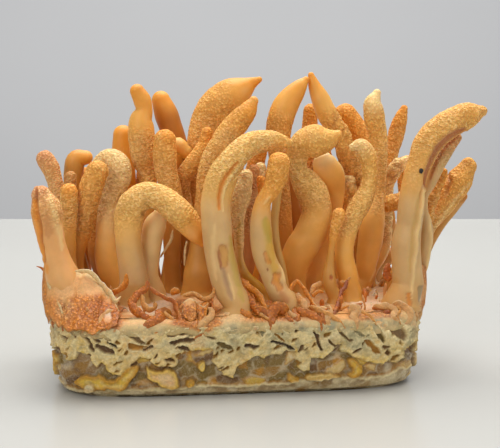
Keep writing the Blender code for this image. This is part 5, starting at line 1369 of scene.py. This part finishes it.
def sheetSkin(upper, lower, thick, colour, edgeColour, beaded, seed):
    # a slab between two smooth lines: down its near face and back up its far one, bulging and crumpled
    lines = [evenStations(smoothRoute(pushBack([(*point, 1.0) for point in line]), 10), sheetLook["step"])[0]
             for line in (upper, lower)]
    count = max(len(line) for line in lines)
    top, bottom = (np.stack([np.interp(np.linspace(0, 1, count), np.linspace(0, 1, len(line)), line[:, k])
                             for k in range(3)], axis=1) for line in lines)
    face = np.repeat([0.0, 1.0], [sheetLook["down"], sheetLook["down"] - 2])
    down = np.linspace(0, 1, sheetLook["down"])
    down = np.concatenate([down, down[::-1][1:-1]])
    surface = top[:, None] * (1 - down)[None, :, None] + bottom[:, None] * down[None, :, None]
    bulge = np.sin(math.pi * down)[None, :] * (0.35 + 0.35 * softNoise(top, 3.0, seed)[:, None])
    crumple = layered(surface.reshape(-1, 3), 2.4, seed + 1).reshape(bulge.shape)
    push = bulge + 0.55 * crumple - (thick * face * np.minimum(1, 6 * np.sin(math.pi * down)))[None]
    surface = surface - push[..., None] * forward
    surface[..., 2] += (1 - down)[None] * 0.5 * softNoise(top, 1.1, seed + 2)[:, None]
    surface[..., 2] += down[None] * 1.1 * layered(bottom, 2.0, seed + 8, 2)[:, None]
    flat = surface.reshape(-1, 3)
    near, _, _ = pebbles(flat, sheetLook["grain"], seed + 3)
    coat = Coat(flat, felt, colour)
    coat.lay("apricot", 0.35 * coat.patch(-0.1, 0.5, 3.5, seed + 4, 2))
    low = np.tile(ease(0.42, 0.72, down), count) * coat.patch(-0.6, 0.1, 4.0, seed + 5, 2)
    granular = spotPaint(coat, np.maximum(beaded, 0.8 * low), seed + 6)
    coat.lay("orange", 0.7 * low)
    # painted shade in ember between the beads and a painted highlight in gold on their tops
    coat.lay("ember", 0.6 * granular * ease(0.45, 0.8, near))
    coat.lay("gold", 0.3 * granular * ease(0.4, 0.15, near))
    coat.lay(edgeColour, 0.85 * np.tile(ease(0.10, 0.02, down), count))
    flat = flat - forward * (granular * 0.36 * (0.5 - near) * np.tile(1 - face, count))[:, None]
    return inRings(surface, flat, coat.paint, rough=granular)


# Rim strands: short bands of dried tissue that run from the mat's top over its rim; their turns are in half
# circles
rimStrands = {"front": 26, "others": 90, "frontTurns": (1.12, 1.88), "otherTurns": (-0.12, 1.12),
              "looks": [("orange", "cream", 0.5), ("rust", "orange", 0.8), ("apricot", "cream", 0.3),
                        ("peach", "cream", 0.1), ("skin", "cream", 0.1)]}


def rimStrandSkins():
    # each starts inside the mat's edge, crosses it and hangs down the side, closer together along the front
    draw = np.random.default_rng(31)
    strands = []
    for n in range(rimStrands["front"] + rimStrands["others"]):
        turn = draw.uniform(*rimStrands["frontTurns" if n < rimStrands["front"] else "otherTurns"]) * math.pi
        drift = draw.normal(0, 0.022, 4).cumsum()
        spans = ((0.2, 1.0), (0.25, 1.3), (1.5, 5.0), (0.0, 1.3))
        drop, wide, inward, rise = (draw.uniform(*span) for span in spans)
        places = [(0.0, -inward, 20.4, 1.0), (drift[0], -0.6 * inward, 20.9 + rise, 1.3),
                  (drift[1], -0.7, 20.6 + 0.4 * rise, 1.2), (drift[2], 0.25, 19.3, 1.0),
                  (drift[3], 0.45, 19.0 - 2.6 * drop, 0.5)]
        route = [[*slabPoint(turn + over, spread, height), wide * width]
                 for over, spread, height, width in places]
        look = rimStrands["looks"][draw.integers(5)]
        strands.append(sweep(smoothRoute(route, 8), (0, 12), 0.12, *look, 700 + n))
    return strands


skinPiece("myceliumFrills", [sweep(smoothRoute(pushBack(points), frillLook["fine"]), *look, 500 + 13 * n)
                             for n, (points, *look) in enumerate(frills)], feltSkin)
skinPiece("myceliumSheets", [sheetSkin(*row, 640 + 7 * n) for n, row in enumerate(sheets)],
          feltSkin)
skinPiece("rimStrands", rimStrandSkins(), feltSkin)


# Buds and threads: young clubs that stayed small, and loose strands, all round the mat
buds = {"count": 64, "threads": 50, "clear": 0.4, "step": 0.42}


def growthSkin(knots, around, colours, seed):
    # a thin round stalk along the knots, closed at its head, its colour passing from the first to the second
    line, along = evenStations(smoothRoute(knots, 8), buds["step"])
    _, side, back = crossAxes(line[:, :3], (0.1, 1.0, 0.05))
    ends = np.sqrt(np.clip(1 - (along / along[-1]) ** 8, 0.05, 1))
    ways = outwardWays(fullTurn(around), side, back)
    surface = line[:, None, :3] + (line[:, 3] * ends)[:, None, None] * ways
    flat = surface.reshape(-1, 3)
    flat = flat + 0.10 * softNoise(flat, 0.8, seed)[:, None] * ways.reshape(-1, 3)
    coat = Coat(flat, felt, colours[0])
    coat.lay(colours[1], np.repeat(along / along[-1], around))
    return inRings(surface, flat, coat.paint, rough=0.4)


def smallGrowths():
    # buds are short tapered stalks with a round head; threads are thin low arches; both keep clear of the
    # clubs' feet
    draw = np.random.default_rng(23)
    grown = []
    for n in range(buds["count"] + buds["threads"]):
        turn = draw.uniform(0, 2 * math.pi)
        reach = draw.uniform(0.55, 0.985) if n < buds["count"] else draw.uniform(0.7, 0.99)
        x, y, _ = slabPoint(turn, -1.2, 0.0) * reach
        clear = min(math.hypot(x - root[0], y - root[1]) - foot for root, foot, _ in clubs.values())
        lean = draw.normal(0, 0.5, 2)
        size, tall, pick = draw.uniform(0.35, 0.8), draw.uniform(1.2, 4.2), draw.random()
        if clear < buds["clear"]:
            continue
        if n < buds["count"]:
            knots = [(x, y, 19.8, size * 0.9)]
            for over, up, wide in ((0.3, 0.35, 0.7), (1.0, 0.75, 0.95), (1.3, 1.0, 0.55)):
                knots.append((x + over * lean[0], y + over * lean[1], 20.6 + up * tall, size * wide))
            colours = ("apricot", "peach") if pick < 0.6 else ("orange", "rust")
            grown.append(growthSkin(knots, 10, colours, 900 + n))
        else:
            far = draw.normal(0, 2.2, 2)
            knots = [(x, y, 20.1, 0.22), (x + 0.5 * far[0], y + 0.5 * far[1], 21.0 + 0.3 * tall, 0.2),
                     (x + far[0], y + far[1], 20.2, 0.16)]
            grown.append(growthSkin(knots, 8, ("cream", "white"), 900 + n))
    return grown


skinPiece("budsAndThreads", smallGrowths(), feltSkin)
print("frills and buds done, faces:", sum(faceCount))


# Speck: a dark grain of dirt stuck to the tall club on the right, at a place on the pane
speck = {"place": (43.25, 13.1), "near": 0.9, "radius": 0.62, "flatter": 0.45, "colour": tone("17120F")}


def speckSkin():
    # a ball flattened along the sight line, its radius changed by noise, set where the sight line meets the
    # club's skin
    skin = bpy.data.objects["frontClubSkin10"].data
    co = np.empty(len(skin.vertices) * 3)
    skin.vertices.foreach_get("co", co)
    co = co.reshape(-1, 3) / mm
    u, w = paneOf(co)
    close = np.hypot(u - speck["place"][0], w - speck["place"][1]) < speck["near"]
    nearest = co[close][np.argsort((co[close] - eye) @ forward)[:6]].mean(axis=0)
    lift, turn = np.meshgrid(np.radians(np.linspace(-80, 80, 11)), fullTurn(18), indexing="ij")
    ball = np.stack([np.cos(lift) * np.cos(turn), np.cos(lift) * np.sin(turn), np.sin(lift)], axis=-1)
    radius = speck["radius"] * (1 + 0.35 * softNoise(ball.reshape(-1, 3), 0.7, 77).reshape(*lift.shape, 1))
    ball = ball * radius
    surface = nearest + ball - (ball @ forward)[..., None] * forward * speck["flatter"]
    colours = np.tile(np.array(speck["colour"]), (lift.size, 1))
    return inRings(surface, surface.reshape(-1, 3), colours, rough=1.0)


def dirtMaterial():
    # near black, with a faint brown grain
    f = Finish("darkDirt", {})
    grit = f.noise(f.place(), 3000.0, 3.0)
    colour = f.tinted("MIX", f.limits(grit, 0.4, 0.7), (0.008, 0.006, 0.005, 1.0), (0.03, 0.02, 0.014, 1.0))
    return f.finish(colour, f.limits(grit, 0.3, 0.7, 0.5, 0.8), f.bump(grit, 0.5, 0.0002))


skinPiece("dirtSpeck", [speckSkin()], dirtMaterial())


# Stage, in metres from the eye's foot along the level sight line: a pale glossy table, whose far edge is the
# line behind the block, and a grey wall well beyond it, with soft lamps and the camera
stage = {"halfWidth": 2.2, "front": -1.6, "tableEnd": 0.663, "wallGap": 2.6, "wallFoot": -1.4, "wallTop": 1.7,
         "table": "BDBDB8", "wall": "B4B4B4"}
eyeM = eye * mm
ahead = np.array([forward[0], forward[1], 0.0]) / math.hypot(forward[0], forward[1])
aside = np.array([ahead[1], -ahead[0], 0.0]) * stage["halfWidth"]


def stagePlain(name, materialName, first, second, code, roughness):
    # a rectangle between two level lines, each given by its distance ahead and its height, in a faintly
    # clouded colour
    f = Finish(materialName, {"Specular IOR Level": 0.45})
    cloud = f.noise(f.place(), 3.0, 2.0)
    gloss = f.limits(cloud, 0.2, 0.8, roughness, roughness + 0.05)
    colour = f.scaled(tone(code), f.limits(cloud, 0.2, 0.8, 0.99, 1.01))
    material = f.finish(colour, gloss, f.bump(cloud, 0.02, 0.001))
    near, far = (np.array([*eyeM[:2], height]) + ahead * gap for gap, height in (first, second))
    corners = [tuple(corner) for corner in (near - aside, near + aside, far + aside, far - aside)]
    mesh = bpy.data.meshes.new(name)
    mesh.from_pydata(corners, [], [(0, 1, 2, 3)])
    mesh.materials.append(material)
    piece = bpy.data.objects.new(name, mesh)
    whole.collection.objects.link(piece)


tableLines = (stage["front"], 0.0), (stage["tableEnd"], 0.0)
wallLines = (stage["wallGap"], stage["wallFoot"]), (stage["wallGap"], stage["wallTop"])
stagePlain("tableTop", "paleTable", *tableLines, stage["table"], 0.22)
stagePlain("backWall", "greyWall", *wallLines, stage["wall"], 0.8)

lamps = {
    "skyPanel": {"place": (0.05, 0.19, 0.70), "aim": (0.0, 0.06, 0.03), "size": (0.8, 0.7), "power": 8.6,
                 "colour": (1.0, 0.98, 0.95)},
    "frontLeft": {"place": (-0.55, -0.75, 0.55), "aim": (0.0, 0.0, 0.04), "size": (0.5, 0.5), "power": 3.4,
                  "colour": (1.0, 0.97, 0.93)},
    "frontRight": {"place": (0.65, -0.6, 0.35), "aim": (0.0, 0.0, 0.04), "size": (0.5, 0.5), "power": 1.3,
                   "colour": (0.97, 0.98, 1.0)},
    "wallWash": {"place": (0.1, 0.95, 0.66), "aim": (0.25, 2.2, -0.6), "size": (2.6, 0.5), "power": 30.0,
                 "colour": (1.0, 1.0, 1.0)},
}


def placeAimed(name, data, place, aim):
    # an object at its place whose own -Z points at its aim, with its Y upwards
    placed = bpy.data.objects.new(name, data)
    placed.location = place
    placed.rotation_euler = (Vector(aim) - Vector(place)).to_track_quat("-Z", "Y").to_euler()
    whole.collection.objects.link(placed)
    return placed


for name, lamp in lamps.items():
    data = bpy.data.lights.new(name, "AREA")
    data.shape, data.size, data.size_y = "RECTANGLE", *lamp["size"]
    data.energy, data.color = lamp["power"], lamp["colour"]
    placeAimed(name, data, lamp["place"], lamp["aim"])

world = bpy.data.worlds.new("softRoom")
world.use_nodes = True
sky = world.node_tree.nodes["Background"].inputs
sky["Color"].default_value, sky["Strength"].default_value = (0.93, 0.95, 1.0, 1.0), 0.33
whole.world = world
whole.view_settings.view_transform = "Standard"

lens = bpy.data.cameras.new("photoCamera")
lens.lens, lens.sensor_width, lens.sensor_fit = sight["lens"], sight["sensor"], "HORIZONTAL"
lens.clip_start, lens.clip_end = 0.02, 20.0
whole.camera = placeAimed("photoCamera", lens, eyeM, eyeM + forward)
print("stage done, faces in all:", sum(faceCount))
